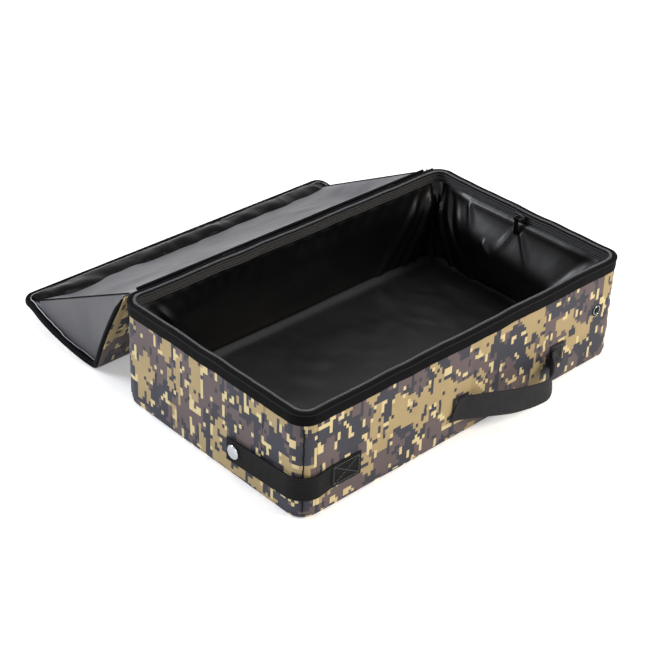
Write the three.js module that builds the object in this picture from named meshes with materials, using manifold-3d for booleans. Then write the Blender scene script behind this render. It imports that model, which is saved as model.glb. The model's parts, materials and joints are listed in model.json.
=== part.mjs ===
// A soft foldable litter box: a camouflage cloth tray with a black bound rim, a zip round the rim,
// a loose waterproof liner and a two-panel lid thrown back behind the box.
// Millimetres, +Z up. The origin is the middle of the tray's underside. X runs along the long side,
// the front long wall is at -Y and the lid hinges on the back long wall at +Y.
//
// How it folds: every wall is two stiff boards, one above the other, with a crease at mid height.
// The creases go inwards and the rim sinks on to the base. The corners are soft gussets.

import * as THREE from 'three';
import { mergeVertices } from 'three/addons/utils/BufferGeometryUtils.js';
import Module from 'manifold-3d';

const wasm = await Module();
wasm.setup();

// Overall sizes of the open tray
const boxLength = 440;
const boxWidth = 260;
const boxHeight = 116;
const cornerRadius = 18;
const gap = 0.3;

// Base: a shallow cloth tray that holds two stiffener boards, split at the middle fold
const baseCoverThickness = 2;
const baseEdgeRadius = 4;
const baseBoardThickness = 3.5;
const baseFoldGap = 3;

// Walls
const wallThickness = 4;
const boardChamfer = 0.6;
const gussetThickness = 2.4;
const middleCreaseWidth = 3;
const middleCreaseDepth = 1.1;
const foldAngleMax = 80;
const sideFoldClearance = 2.7;
const sideBoardTaper = 3.5;

// Rim: a bound edge, with the zip tape and the row of zip teeth on its inner side
const bindingDrop = 13;
const bindingProud = 1.5;
const bindingRound = 1.6;
const zipTapeThickness = 1.5;
const zipTapeTopDrop = 3.2;
const zipTeethWidth = 2.2;
const zipTeethDepth = 0.6;
const zipTeethHeight = 2.4;
const zipTeethDrop = 0.5;
const zipRibShares = [0.25, 0.35, 0.5, 0.6, 0.75, 0.85];

// Liner
const linerThickness = 1.2;
const linerFoldDepth = 6.5;
const linerFoldPitch = 47;
const linerFootRadius = 9;
const linerLevelShares = [0, 0.12, 0.3, 0.5, 0.7, 0.88, 1];
const linerWaveShares = [0.25, 0.5, 0.25];
const linerFoldSlants = [2.6, 1.9];
const linerExtraFolds = 4;

// Lid: two panels joined by a soft fold. A strip of cloth hinges them on a cord along the back of the rim.
const hingeCordRadius = 1.6;
const foldCordRadius = 1.4;
const lidThickness = 3;
const lidFaceGap = 0.5;
const lidSetIn = 4;
const lidEdgeWidth = 5;
const lidEdgeProud = 0.25;
const lidStripWidth = 30;
const lidStripThickness = 1;
const lidHangAngle = 64;
const lidLieAngle = 10;
const lidZipWidth = 3;
const lidZipThickness = 1.2;
const foldCordRest = 1.9;
const lidLiningThickness = 1;
const lidLiningSag = 9;
const lidLiningEndRise = 14;
const lidLiningClearance = 1.1;
const liningStartShare = 0.17;
const liningRippleShare = 0.3;
const liningRippleTurn = 5;
const liningLiftShares = [0, 0.55, 0.9, 1];

// Webbing: the carry handle on the front wall and the strap round the front left corner
const webbingWidth = 25;
const webbingThickness = 1.5;
const handleHeight = 36;
const handleLeftX = -25;
const handleRightX = 116;
const handleReach = 25;
const handleDroop = 11;
const handlePatchLength = 20;
const handleReachShares = [0, 0.12, 0.42, 0.8, 1, 0.94, 0.5, 0.14, 0];
const handleRunShares = [0, 0.08, 0.22, 0.45, 0.68, 0.82, 0.93, 0.985, 1.06];
const handleDropShares = [0, 0, 0.15, 0.6, 0.95, 1, 0.75, 0.4, 0.3];
const strapHeight = 36;
const strapPatchInset = 72;
const strapPatchLength = 37;
const strapStandOff = 3.6;
const strapEndY = -32;
const strapEndDrop = 4;
const strapRunShares = [0.3, 0.65, 1];

// Snap fastener: cap and socket on the corner strap, stud on the front wall
const snapCapDiameter = 15;
const snapCapThickness = 2.2;
const snapSocketDiameter = 11;
const snapSocketThickness = 0.7;
const snapY = -42;
const snapStudInset = 34;
const snapStudHeight = 64;
const snapStudDiameter = 13;
const snapFlangeThickness = 0.8;
const snapPostDiameter = 5.5;
const snapPostHeight = 1.8;
const capRadiusShares = [0, 0.9, 1, 0.93, 0.6, 0];
const capHeightShares = [0, 0, 0.3, 0.7, 1, 1];
const flangeTopShare = 0.9;
const flangeEdgeShare = 0.6;
const postTopShare = 0.85;
const postShoulderShare = 0.7;

// Zip slider and pull on the far short side
const sliderLength = 14;
const sliderNoseWidth = 6.5;
const sliderTailWidth = 9;
const sliderThickness = 5;
const sliderTopDrop = 3;
const bridgeWidth = 2.2;
const bridgeWire = 1.4;
const bridgeReach = 4.2;
const pullLength = 18;
const pullWidth = 5;
const pullPlyThickness = 0.9;
const pullEyeRadius = 1.65;

// Steps on round and curved forms
const arcSteps = 6;
const turnSteps = 20;
const roundSteps = 3;
const cordSteps = 10;
const handleSteps = 28;
const linerStepsLong = 14;
const linerStepsShort = 8;
const liningSteps = 16;
const liningStations = 9;
const notchShare = 0.7;
const mergeReach = 1e-4;

// Levels and lines worked out from the sizes above
const baseBoardTop = baseCoverThickness + gap + baseBoardThickness;
const wallBottom = baseBoardTop + gap;
const rimBottom = boxHeight - bindingDrop;
const wallTop = rimBottom - gap;
const creaseHeight = (wallBottom + wallTop) / 2;
const foldLink = creaseHeight - wallBottom;
const longBoardHalf = boxLength / 2 - cornerRadius - gap;
const strapPatchStartX = strapPatchInset - boxLength / 2;
const snapStudX = boxLength / 2 - snapStudInset;
const foldReach = foldLink * Math.sin(THREE.MathUtils.degToRad(foldAngleMax));
const sideBoardHalfAtCrease = boxWidth / 2 - wallThickness - foldReach - sideFoldClearance;
const sideBoardHalf = sideBoardHalfAtCrease + sideBoardTaper;
const hingeY = boxWidth / 2 + bindingProud + gap + hingeCordRadius;
const hingeZ = boxHeight;
const lidReach = hingeY + boxWidth / 2 - lidSetIn;
const lidHalfLength = boxLength / 2 - lidSetIn;
const lidMid = -lidFaceGap - lidThickness / 2;
const hang = THREE.MathUtils.degToRad(lidHangAngle);
const lie = THREE.MathUtils.degToRad(lidLieAngle);
const lidInnerLength = (hingeZ + lidMid * Math.cos(hang) - foldCordRest) / Math.sin(hang);
const lidOuterLength = lidReach - lidInnerLength;
const foldHalfGap = foldCordRadius + gap * 2;
const rimInside = wallThickness + gap + zipTapeThickness;
const linerOffset = wallThickness + gap;

const litterBox = new THREE.Group();

// Materials: one for each sub-part, from a few base colours
const camoCloth = { color: '#8b7c5c', roughness: 0.75, metalness: 0 };
const blackCloth = { color: '#151516', roughness: 0.8, metalness: 0 };
const blackWebbing = { color: '#1c1d1f', roughness: 0.85, metalness: 0 };
const linerFilm = { color: '#1a1b1d', roughness: 0.28, metalness: 0 };
const board = { color: '#2a2a2b', roughness: 0.7, metalness: 0 };
const zipNylon = { color: '#3b3c3f', roughness: 0.5, metalness: 0 };
const silverMetal = { color: '#b9bcc0', roughness: 0.3, metalness: 1 };
const blackMetal = { color: '#202124', roughness: 0.4, metalness: 1 };

function addPiece(name, geometry, look, parent = litterBox) {
  const piece = new THREE.Mesh(geometry, new THREE.MeshStandardMaterial(look));
  piece.name = name;
  parent.add(piece);
  return piece;
}

// A closed body through rings of points. Each ring is a loop with as many points as the next.
// closed joins the last ring to the first; otherwise both ends are capped.
function loft(rings, closed = false) {
  const count = rings[0].length;
  const positions = rings.flat().flatMap((p) => [p.x, p.y, p.z]);
  const faces = [];
  const last = closed ? rings.length : rings.length - 1;
  for (let r = 0; r < last; r++) {
    const next = (r + 1) % rings.length;
    for (let i = 0; i < count; i++) {
      const j = (i + 1) % count;
      const a = r * count + i;
      const b = r * count + j;
      const c = next * count + j;
      const d = next * count + i;
      faces.push([a, b, c], [a, c, d]);
    }
  }
  if (!closed) {
    for (const f of capFaces(rings[0])) faces.push([f[2], f[1], f[0]]);
    const start = (rings.length - 1) * count;
    for (const f of capFaces(rings[rings.length - 1])) faces.push(f.map((i) => i + start));
  }
  if (signedVolume(positions, faces) < 0) for (const f of faces) f.reverse();
  const geometry = new THREE.BufferGeometry();
  geometry.setAttribute('position', new THREE.Float32BufferAttribute(positions, 3));
  geometry.setIndex(faces.flat());
  geometry.computeVertexNormals();
  return geometry;
}

// Triangles that close a flat ring, turned as the ring runs
function capFaces(ring) {
  const normal = new THREE.Vector3();
  ring.forEach((p, i) => {
    const q = ring[(i + 1) % ring.length];
    normal.x += (p.y - q.y) * (p.z + q.z);
    normal.y += (p.z - q.z) * (p.x + q.x);
    normal.z += (p.x - q.x) * (p.y + q.y);
  });
  normal.normalize();
  const side = Math.abs(normal.z) < 0.9 ? new THREE.Vector3(0, 0, 1) : new THREE.Vector3(1, 0, 0);
  const u = side.clone().cross(normal).normalize();
  const v = normal.clone().cross(u);
  const flat = ring.map((p) => new THREE.Vector2(p.dot(u), p.dot(v)));
  return THREE.ShapeUtils.triangulateShape(flat, []);
}

function signedVolume(positions, faces) {
  const point = (i) => new THREE.Vector3().fromArray(positions, i * 3);
  return faces.reduce((sum, [a, b, c]) => sum + point(a).dot(point(b).cross(point(c))), 0) / 6;
}

function toSolid(geometry) {
  const bare = geometry.clone();
  bare.deleteAttribute('normal');
  bare.deleteAttribute('uv');
  const merged = mergeVertices(bare, mergeReach);
  const index = merged.index.array;
  return new wasm.Manifold(new wasm.Mesh({
    numProp: 3,
    vertProperties: new Float32Array(merged.attributes.position.array),
    triVerts: new Uint32Array(index),
  }));
}

function fromSolid(solid) {
  const mesh = solid.getMesh();
  const geometry = new THREE.BufferGeometry();
  geometry.setAttribute('position', new THREE.BufferAttribute(mesh.vertProperties, 3));
  geometry.setIndex(new THREE.BufferAttribute(mesh.triVerts, 1));
  geometry.computeVertexNormals();
  return geometry;
}

// The tray's rounded outline: points in order with their outward directions and the length run so far
function boxOutline(stepsLong = 1, stepsShort = 1) {
  const halfX = boxLength / 2 - cornerRadius;
  const halfY = boxWidth / 2 - cornerRadius;
  const corners = [[halfX, halfY, 0], [-halfX, halfY, 1], [-halfX, -halfY, 2], [halfX, -halfY, 3]];
  const stations = [];
  let run = 0;
  corners.forEach(([cx, cy, quarter], k) => {
    for (let s = 0; s <= arcSteps; s++) {
      const turn = (quarter + s / arcSteps) * Math.PI / 2;
      const out = new THREE.Vector2(Math.cos(turn), Math.sin(turn));
      stations.push({ at: new THREE.Vector2(cx, cy).addScaledVector(out, cornerRadius), out });
    }
    const steps = k % 2 === 0 ? stepsLong : stepsShort;
    const from = stations[stations.length - 1];
    const [nx, ny] = corners[(k + 1) % corners.length];
    const to = new THREE.Vector2(nx, ny).addScaledVector(from.out, cornerRadius);
    for (let s = 1; s < steps; s++) {
      stations.push({ at: from.at.clone().lerp(to, s / steps), out: from.out.clone() });
    }
  });
  stations.forEach((station, i) => {
    if (i > 0) run += station.at.distanceTo(stations[i - 1].at);
    station.run = run;
  });
  return stations;
}

// A ring round the tray with one section all the way: profile points are [outward offset, height]
function ringRoundBox(profile, outline = boxOutline()) {
  const rings = outline.map(({ at, out }) => profile.map(([offset, z]) => (
    new THREE.Vector3(at.x + out.x * offset, at.y + out.y * offset, z)
  )));
  return loft(rings, true);
}

function levelRing(outline, offset, z) {
  return outline.map(({ at, out }) => new THREE.Vector3(at.x + out.x * offset, at.y + out.y * offset, z));
}

// A flat strip of webbing: stations give its middle, and the directions of its width and thickness
function webbing(stations, width = webbingWidth, thickness = webbingThickness) {
  const rings = stations.map(({ middle, across, through }) => {
    const corner = (a, b) => middle.clone()
      .addScaledVector(across, a * width / 2)
      .addScaledVector(through, b * thickness / 2);
    return [corner(-1, -1), corner(1, -1), corner(1, 1), corner(-1, 1)];
  });
  return loft(rings);
}

// Stations along a curve that runs in plan, with the width upright
function uprightStations(curve, steps) {
  const up = new THREE.Vector3(0, 0, 1);
  return Array.from({ length: steps + 1 }, (_, i) => {
    const along = curve.getTangent(i / steps);
    const through = along.clone().setZ(0).normalize().cross(up);
    return { middle: curve.getPoint(i / steps), across: up, through };
  });
}

function rectShape(x0, y0, x1, y1, radius = 0) {
  const shape = new THREE.Shape();
  if (radius === 0) {
    shape.moveTo(x0, y0).lineTo(x1, y0).lineTo(x1, y1).lineTo(x0, y1).closePath();
    return shape;
  }
  shape.moveTo(x0 + radius, y0).lineTo(x1 - radius, y0);
  shape.absarc(x1 - radius, y0 + radius, radius, -Math.PI / 2, 0);
  shape.lineTo(x1, y1 - radius);
  shape.absarc(x1 - radius, y1 - radius, radius, 0, Math.PI / 2);
  shape.lineTo(x0 + radius, y1);
  shape.absarc(x0 + radius, y1 - radius, radius, Math.PI / 2, Math.PI);
  shape.lineTo(x0, y0 + radius);
  shape.absarc(x0 + radius, y0 + radius, radius, Math.PI, Math.PI * 1.5);
  return shape;
}

function extrude(shape, depth) {
  return new THREE.ExtrudeGeometry(shape, { depth, bevelEnabled: false, curveSegments: arcSteps });
}

// Turns an extrusion so that its shape's x becomes Y, its shape's y becomes Z, and its depth runs along X
const layAcross = new THREE.Matrix4().makeBasis(
  new THREE.Vector3(0, 1, 0), new THREE.Vector3(0, 0, 1), new THREE.Vector3(1, 0, 0));

// The angles of a rounded edge's steps, from zero to a quarter turn
function quarterTurns() {
  return Array.from({ length: roundSteps + 1 }, (_, s) => (s / roundSteps) * Math.PI / 2);
}

function baseCover() {
  const outline = boxOutline();
  const wallInside = -baseCoverThickness;
  const rings = [
    levelRing(outline, -baseEdgeRadius, 0),
    ...quarterTurns().slice(1).map((turn) => {
      const offset = (Math.sin(turn) - 1) * baseEdgeRadius;
      return levelRing(outline, offset, (1 - Math.cos(turn)) * baseEdgeRadius);
    }),
    levelRing(outline, 0, baseBoardTop),
    levelRing(outline, wallInside, baseBoardTop),
    levelRing(outline, wallInside, baseCoverThickness),
  ];
  return loft(rings);
}

function baseBoard(side) {
  const edge = baseCoverThickness + gap;
  const halfX = boxLength / 2 - edge;
  const halfY = boxWidth / 2 - edge;
  const radius = cornerRadius - edge;
  const shape = new THREE.Shape();
  shape.moveTo(baseFoldGap / 2, -halfY).lineTo(halfX - radius, -halfY);
  shape.absarc(halfX - radius, -halfY + radius, radius, -Math.PI / 2, 0);
  shape.lineTo(halfX, halfY - radius);
  shape.absarc(halfX - radius, halfY - radius, radius, 0, Math.PI / 2);
  shape.lineTo(baseFoldGap / 2, halfY);
  const geometry = extrude(shape, baseBoardThickness);
  if (side < 0) geometry.rotateZ(Math.PI);
  geometry.translate(0, 0, baseCoverThickness + gap);
  return geometry;
}

// A wall board in plan, its outer face on y = 0 and its thickness towards -y
function boardPlan(half, z, creased) {
  const c = boardChamfer;
  const t = wallThickness;
  const w = middleCreaseWidth / 2;
  const d = middleCreaseDepth;
  const outer = creased ? [[w, 0], [0, -d], [-w, 0]] : [];
  const inner = creased ? [[-w, -t], [0, d - t], [w, -t]] : [];
  const points = [[half, -t + c], [half, -c], [half - c, 0], ...outer,
    [c - half, 0], [-half, -c], [-half, -t + c], [c - half, -t], ...inner, [half - c, -t]];
  return points.map(([x, y]) => new THREE.Vector3(x, y, z));
}

// turn is the angle that takes the +Y side to this wall's side
function wallBoard(name, turn, distance, creased, halfBelow, halfAbove, z0, z1) {
  const geometry = loft([boardPlan(halfBelow, z0, creased), boardPlan(halfAbove, z1, creased)]);
  geometry.translate(0, distance, 0);
  geometry.rotateZ(turn);
  addPiece(name, geometry, camoCloth);
}

function walls() {
  const sides = [
    ['front', Math.PI, boxWidth / 2, true, longBoardHalf, longBoardHalf],
    ['back', 0, boxWidth / 2, true, longBoardHalf, longBoardHalf],
    ['left', Math.PI / 2, boxLength / 2, false, sideBoardHalf, sideBoardHalfAtCrease],
    ['right', -Math.PI / 2, boxLength / 2, false, sideBoardHalf, sideBoardHalfAtCrease],
  ];
  for (const [side, turn, distance, creased, half, halfAtCrease] of sides) {
    wallBoard(`${side}_wall_lower`, turn, distance, creased, half, halfAtCrease,
      wallBottom, creaseHeight - gap / 2);
    wallBoard(`${side}_wall_upper`, turn, distance, creased, halfAtCrease, half,
      creaseHeight + gap / 2, wallTop);
  }
}

// A corner gusset in plan at one height: round the corner and along the short wall to its board
function gussetPlan(signX, signY, z, boardHalf) {
  const cx = boxLength / 2 - cornerRadius;
  const cy = boxWidth / 2 - cornerRadius;
  const path = (radius) => {
    const points = [];
    for (let s = 0; s <= arcSteps; s++) {
      const turn = (s / arcSteps) * Math.PI / 2;
      points.push([cx + Math.sin(turn) * radius, cy + Math.cos(turn) * radius]);
    }
    points.push([cx + radius, boardHalf + gap]);
    return points;
  };
  const loop = [...path(cornerRadius), ...path(cornerRadius - gussetThickness).reverse()];
  return loop.map(([x, y]) => new THREE.Vector3(x * signX, y * signY, z));
}

function gussets() {
  const corners = [
    ['front_left', -1, -1],
    ['front_right', 1, -1],
    ['back_left', -1, 1],
    ['back_right', 1, 1],
  ];
  for (const [name, signX, signY] of corners) {
    const geometry = loft([
      gussetPlan(signX, signY, wallBottom, sideBoardHalf),
      gussetPlan(signX, signY, creaseHeight, sideBoardHalfAtCrease),
      gussetPlan(signX, signY, wallTop, sideBoardHalf),
    ]);
    addPiece(`${name}_gusset`, geometry, camoCloth);
  }
}

// The loose liner: its walls hang from under the zip tape and stand off in slanting folds
function liner() {
  const outline = boxOutline(linerStepsLong, linerStepsShort);
  const length = outline[outline.length - 1].run;
  const folds = Math.round(length / linerFoldPitch);
  const floor = baseBoardTop + gap;
  const foot = floor + linerFootRadius;
  const [plain, wide, fine] = linerWaveShares;
  const [slantWide, slantFine] = linerFoldSlants;
  const inward = (run, share) => {
    const turn = (run / length) * 2 * Math.PI;
    const first = (1 + Math.sin(turn * folds + share * slantWide)) / 2;
    const second = (1 + Math.sin(turn * (folds + linerExtraFolds) - share * slantFine)) / 2;
    return linerFoldDepth * Math.sin(Math.PI * share) * (plain + wide * first + fine * second);
  };
  const ring = (extra, share, z) => outline.map(({ at, out, run }) => {
    const offset = -linerOffset - extra - inward(run, share);
    return new THREE.Vector3(at.x + out.x * offset, at.y + out.y * offset, z);
  });
  const heightAt = (share) => foot + share * (rimBottom - gap - foot);
  const thin = linerThickness;
  const footSteps = quarterTurns().slice(0, -1);
  const footRing = (extra, radius, turn) => (
    ring(extra + radius * (1 - Math.sin(turn)), 0, foot - radius * Math.cos(turn))
  );
  return loft([
    ...footSteps.map((turn) => footRing(0, linerFootRadius, turn)),
    ...linerLevelShares.map((share) => ring(0, share, heightAt(share))),
    ...linerLevelShares.map((share) => ring(thin, share, heightAt(share))).reverse(),
    ...footSteps.map((turn) => footRing(thin, linerFootRadius - thin, turn)).reverse(),
  ]);
}

function rimBinding() {
  const top = boxHeight;
  const r = bindingRound;
  const round = quarterTurns();
  const outer = round.map((t) => [bindingProud - r + r * Math.cos(t), top - r + r * Math.sin(t)]);
  const inner = round.map((t) => [-wallThickness + r - r * Math.sin(t), top - r + r * Math.cos(t)]);
  return ringRoundBox([[bindingProud, rimBottom], ...outer, ...inner, [-wallThickness, rimBottom]]);
}

function rimZipTape() {
  const outer = -wallThickness - gap;
  const inner = -rimInside;
  const top = boxHeight - zipTapeTopDrop;
  const rib = zipTapeThickness / 4;
  const ribs = zipRibShares.map((share, i) => [inner + (i % 2) * rib, rimBottom + share * (top - rimBottom)]);
  return ringRoundBox([[outer, rimBottom], [inner, rimBottom], ...ribs, [inner, top], [outer, top]]);
}

function rimZipTeeth() {
  const outer = -wallThickness - gap;
  const inner = outer - zipTeethWidth;
  const top = boxHeight - zipTeethDrop;
  const bottom = top - zipTeethHeight;
  const ease = zipTeethDepth;
  return ringRoundBox([[outer, bottom], [inner + ease, bottom], [inner, bottom + ease],
    [inner, top - ease], [inner + ease, top], [outer, top]]);
}

// The slider: a shield-shaped body that tapers along the zip, with an arched bridge on its face.
// The pull is a ribbon looped through the bridge. It hangs, and swings about the bridge's bar.
const sliderFace = boxLength / 2 - wallThickness - gap * 2 - zipTeethWidth;
const sliderZ = boxHeight - sliderTopDrop - sliderTailWidth / 2;
const bridgeX = sliderFace - sliderThickness;
const bridgeHalf = sliderLength / 2 - bridgeWire;
const pullPivotX = bridgeX - bridgeReach + bridgeWire / 2;

function zipSlider() {
  const half = sliderLength / 2;
  const nose = sliderNoseWidth / 2;
  const tail = sliderTailWidth / 2;
  const shield = new THREE.Shape();
  shield.moveTo(-half, -nose);
  shield.quadraticCurveTo(-half / 3, -nose, 0, -tail);
  shield.lineTo(half, -tail).lineTo(half * notchShare, 0).lineTo(half, tail).lineTo(0, tail);
  shield.quadraticCurveTo(-half / 3, nose, -half, nose);
  const body = extrude(shield, sliderThickness);
  body.applyMatrix4(layAcross);
  body.translate(bridgeX, 0, sliderZ);
  const near = bridgeX + bridgeWire;
  const far = bridgeX - bridgeReach;
  const inside = far + bridgeWire;
  const reach = bridgeHalf - bridgeWire;
  const straight = (pullWidth + gap * 2) / 2;
  const arch = new THREE.Shape();
  arch.moveTo(near, -bridgeHalf).lineTo(bridgeX, -bridgeHalf);
  arch.quadraticCurveTo(far, -bridgeHalf, far, -straight).lineTo(far, straight);
  arch.quadraticCurveTo(far, bridgeHalf, bridgeX, bridgeHalf).lineTo(near, bridgeHalf);
  const window = new THREE.Path();
  window.moveTo(bridgeX, -reach).lineTo(bridgeX, reach).lineTo(inside, straight);
  window.lineTo(inside, -straight).closePath();
  arch.holes.push(window);
  const bridge = extrude(arch, bridgeWidth);
  bridge.translate(0, 0, sliderZ - bridgeWidth / 2);
  return fromSolid(toSolid(body).add(toSolid(bridge)));
}

function zipPull() {
  const ply = pullPlyThickness;
  const r = pullEyeRadius + ply;
  const shape = new THREE.Shape();
  const dip = Math.asin(ply / r);
  shape.absarc(0, 0, r, dip - Math.PI / 2, Math.PI * 1.5 - dip);
  shape.lineTo(-ply, -pullLength).lineTo(ply, -pullLength);
  const eye = new THREE.Path();
  eye.absarc(0, 0, pullEyeRadius, 0, Math.PI * 2);
  shape.holes.push(eye);
  const geometry = extrude(shape, pullWidth);
  geometry.rotateX(Math.PI / 2);
  geometry.translate(pullPivotX, pullWidth / 2, sliderZ);
  return geometry;
}

// The lid panels lie in groups of their own: y along the panel away from its hinge, z out of the lining side
const innerLid = new THREE.Group();
innerLid.position.set(0, hingeY, hingeZ);
innerLid.rotation.x = -hang;
const outerLid = new THREE.Group();
const foldPoint = new THREE.Vector3(0, lidInnerLength, lidMid)
  .applyAxisAngle(new THREE.Vector3(1, 0, 0), -hang)
  .add(innerLid.position);
outerLid.position.copy(foldPoint);
outerLid.rotation.x = lie;

function cord(radius, halfLength) {
  const geometry = new THREE.CylinderGeometry(radius, radius, halfLength * 2, cordSteps);
  geometry.rotateZ(Math.PI / 2);
  return geometry;
}

function panelAcross(shape, halfLength) {
  const geometry = extrude(shape, halfLength * 2);
  geometry.applyMatrix4(layAcross);
  geometry.translate(-halfLength, 0, 0);
  return geometry;
}

// A flat piece of the outer panel: its outline lies in the panel's plane between two depths
function panelFlat(shape, top, bottom) {
  const geometry = extrude(shape, top - bottom);
  geometry.translate(0, 0, bottom);
  return geometry;
}

const panelTop = -lidFaceGap;
const panelBottom = -lidFaceGap - lidThickness;
const edgeTop = panelTop + lidEdgeProud;
const edgeBottom = panelBottom - lidEdgeProud;
const zipBottom = edgeTop + gap;
const zipTop = zipBottom + lidZipThickness;
const innerStart = lidStripWidth + gap / 2;
const panelHalf = lidHalfLength - lidEdgeWidth - gap;
const zipHalf = lidHalfLength - lidEdgeWidth + lidZipWidth / 2;
const lidCornerRadius = cornerRadius - lidSetIn;

function hingeStrip() {
  const bottom = panelTop - lidStripThickness;
  const shape = rectShape(hingeCordRadius + gap, bottom, lidStripWidth - gap / 2, panelTop);
  return panelAcross(shape, panelHalf);
}

function innerPanel() {
  const shape = rectShape(innerStart, panelBottom, lidInnerLength - foldHalfGap, panelTop);
  return panelAcross(shape, panelHalf);
}

function innerEdge(side) {
  const end = lidInnerLength - foldHalfGap;
  const x1 = lidHalfLength;
  const geometry = panelFlat(rectShape(x1 - lidEdgeWidth, innerStart, x1, end), edgeTop, edgeBottom);
  if (side < 0) geometry.translate(lidEdgeWidth - x1 * 2, 0, 0);
  return geometry;
}

function innerZip(side) {
  const end = lidInnerLength - foldHalfGap - lidZipThickness - zipTop;
  const x1 = zipHalf;
  const geometry = panelFlat(rectShape(x1 - lidZipWidth, innerStart, x1, end), zipTop, zipBottom);
  if (side < 0) geometry.translate(lidZipWidth - x1 * 2, 0, 0);
  return geometry;
}

// A strip along the outer panel's two sides and its free edge, between two insets from the lid's outline
function lidSkirt(insetOuter, insetInner, start, top, bottom) {
  const path = (inset) => {
    const half = lidHalfLength - inset;
    const far = lidOuterLength - inset;
    const radius = lidCornerRadius - inset;
    const points = [[-half, start], [-half, far - radius]];
    for (let s = 1; s <= arcSteps; s++) {
      const turn = Math.PI - (s / arcSteps) * Math.PI / 2;
      points.push([-half + radius + Math.cos(turn) * radius, far - radius + Math.sin(turn) * radius]);
    }
    for (let s = 0; s <= arcSteps; s++) {
      const turn = Math.PI / 2 - (s / arcSteps) * Math.PI / 2;
      points.push([half - radius + Math.cos(turn) * radius, far - radius + Math.sin(turn) * radius]);
    }
    points.push([half, start]);
    return points;
  };
  const a = path(insetOuter);
  const b = path(insetInner);
  const rings = a.map(([x, y], i) => {
    const [p, q] = b[i];
    return [[x, y, bottom], [p, q, bottom], [p, q, top], [x, y, top]].map((c) => new THREE.Vector3(...c));
  });
  return loft(rings);
}

// The outer panel's group has its own zero at the fold cord's middle
const outerTop = panelTop - lidMid;
const outerBottom = panelBottom - lidMid;

function outerPanel() {
  const half = panelHalf;
  const far = lidOuterLength - lidEdgeWidth - gap;
  const radius = lidCornerRadius - lidEdgeWidth;
  const shape = new THREE.Shape();
  shape.moveTo(-half, foldHalfGap).lineTo(half, foldHalfGap).lineTo(half, far - radius);
  shape.absarc(half - radius, far - radius, radius, 0, Math.PI / 2);
  shape.lineTo(-half + radius, far);
  shape.absarc(-half + radius, far - radius, radius, Math.PI / 2, Math.PI);
  return panelFlat(shape, outerTop, outerBottom);
}

// The loose lining of the lid: it lies on the panels' ends and bridges the fold between them
function lidLining() {
  const half = zipHalf - lidZipWidth - gap * 2;
  const near = new THREE.Vector3(0, lidStripWidth * liningStartShare, panelTop + lidLiningClearance);
  const bend = new THREE.Vector3(0, 0, outerTop + lidLiningClearance);
  const far = new THREE.Vector3(0, lidOuterLength - lidCornerRadius, outerTop + lidLiningClearance);
  const xAxis = new THREE.Vector3(1, 0, 0);
  const start = near.applyAxisAngle(xAxis, -hang).add(innerLid.position);
  const middle = bend.applyAxisAngle(xAxis, (lie - hang) / 2).add(foldPoint);
  const end = far.applyAxisAngle(xAxis, lie).add(foldPoint);
  const chord = end.clone().sub(start);
  const normal = new THREE.Vector3(0, -chord.z, chord.y).normalize();
  const steps = liningSteps;
  const turnShare = start.distanceTo(middle) / (start.distanceTo(middle) + middle.distanceTo(end));
  const lineAt = (lift, x, wave) => Array.from({ length: steps + 1 }, (_, i) => {
    const s = i / steps;
    const low = s < turnShare
      ? start.clone().lerp(middle, s / turnShare)
      : middle.clone().lerp(end, (s - turnShare) / (1 - turnShare));
    const high = start.clone().lerp(end, s);
    const ripple = 1 - liningRippleShare + liningRippleShare * Math.sin(wave + s * liningRippleTurn);
    const sag = Math.sin(Math.PI * s) * lidLiningSag * ripple;
    high.addScaledVector(normal, -sag * lift);
    return low.lerp(high, lift).setX(x);
  });
  const last = liningLiftShares.length - 1;
  const stations = liningLiftShares.map((lift, i) => ({ x: -half + i * lidLiningEndRise / last, lift }));
  for (let i = 1; i < liningStations; i++) {
    const span = half - lidLiningEndRise;
    stations.push({ x: -span + (i / liningStations) * span * 2, lift: 1 });
  }
  for (let i = last; i >= 0; i--) {
    stations.push({ x: half - i * lidLiningEndRise / last, lift: liningLiftShares[i] });
  }
  const rings = stations.map(({ x, lift }, k) => {
    const under = lineAt(lift, x, k);
    const over = under.map((p) => p.clone().addScaledVector(normal, lidLiningThickness));
    return [...under, ...over.reverse()];
  });
  return loft(rings);
}

function lid() {
  const flat = lidHalfLength - cornerRadius;
  const hingeCord = addPiece('lid_hinge_cord', cord(hingeCordRadius, flat), blackCloth);
  hingeCord.position.set(0, hingeY, hingeZ);
  const foldCord = addPiece('lid_fold_cord', cord(foldCordRadius, panelHalf), blackCloth);
  foldCord.position.copy(foldPoint);
  addPiece('lid_hinge_strip', hingeStrip(), camoCloth, innerLid);
  addPiece('lid_inner_panel', innerPanel(), camoCloth, innerLid);
  addPiece('lid_outer_panel', outerPanel(), camoCloth, outerLid);
  for (const [name, side] of [['left', -1], ['right', 1]]) {
    addPiece(`lid_inner_binding_${name}`, innerEdge(side), blackCloth, innerLid);
    addPiece(`lid_inner_zip_${name}`, innerZip(side), zipNylon, innerLid);
  }
  const outerBinding = lidSkirt(0, lidEdgeWidth, foldHalfGap, outerTop + lidEdgeProud,
    outerBottom - lidEdgeProud);
  addPiece('lid_outer_binding', outerBinding, blackCloth, outerLid);
  const zipInset = lidHalfLength - zipHalf;
  const zipStart = foldHalfGap + lidZipThickness + zipTop;
  const zipFloor = outerTop + lidEdgeProud + gap;
  addPiece('lid_outer_zip', lidSkirt(zipInset, zipInset + lidZipWidth, zipStart,
    zipFloor + lidZipThickness, zipFloor), zipNylon, outerLid);
  addPiece('lid_lining', lidLining(), linerFilm);
  litterBox.add(innerLid, outerLid);
}

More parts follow.
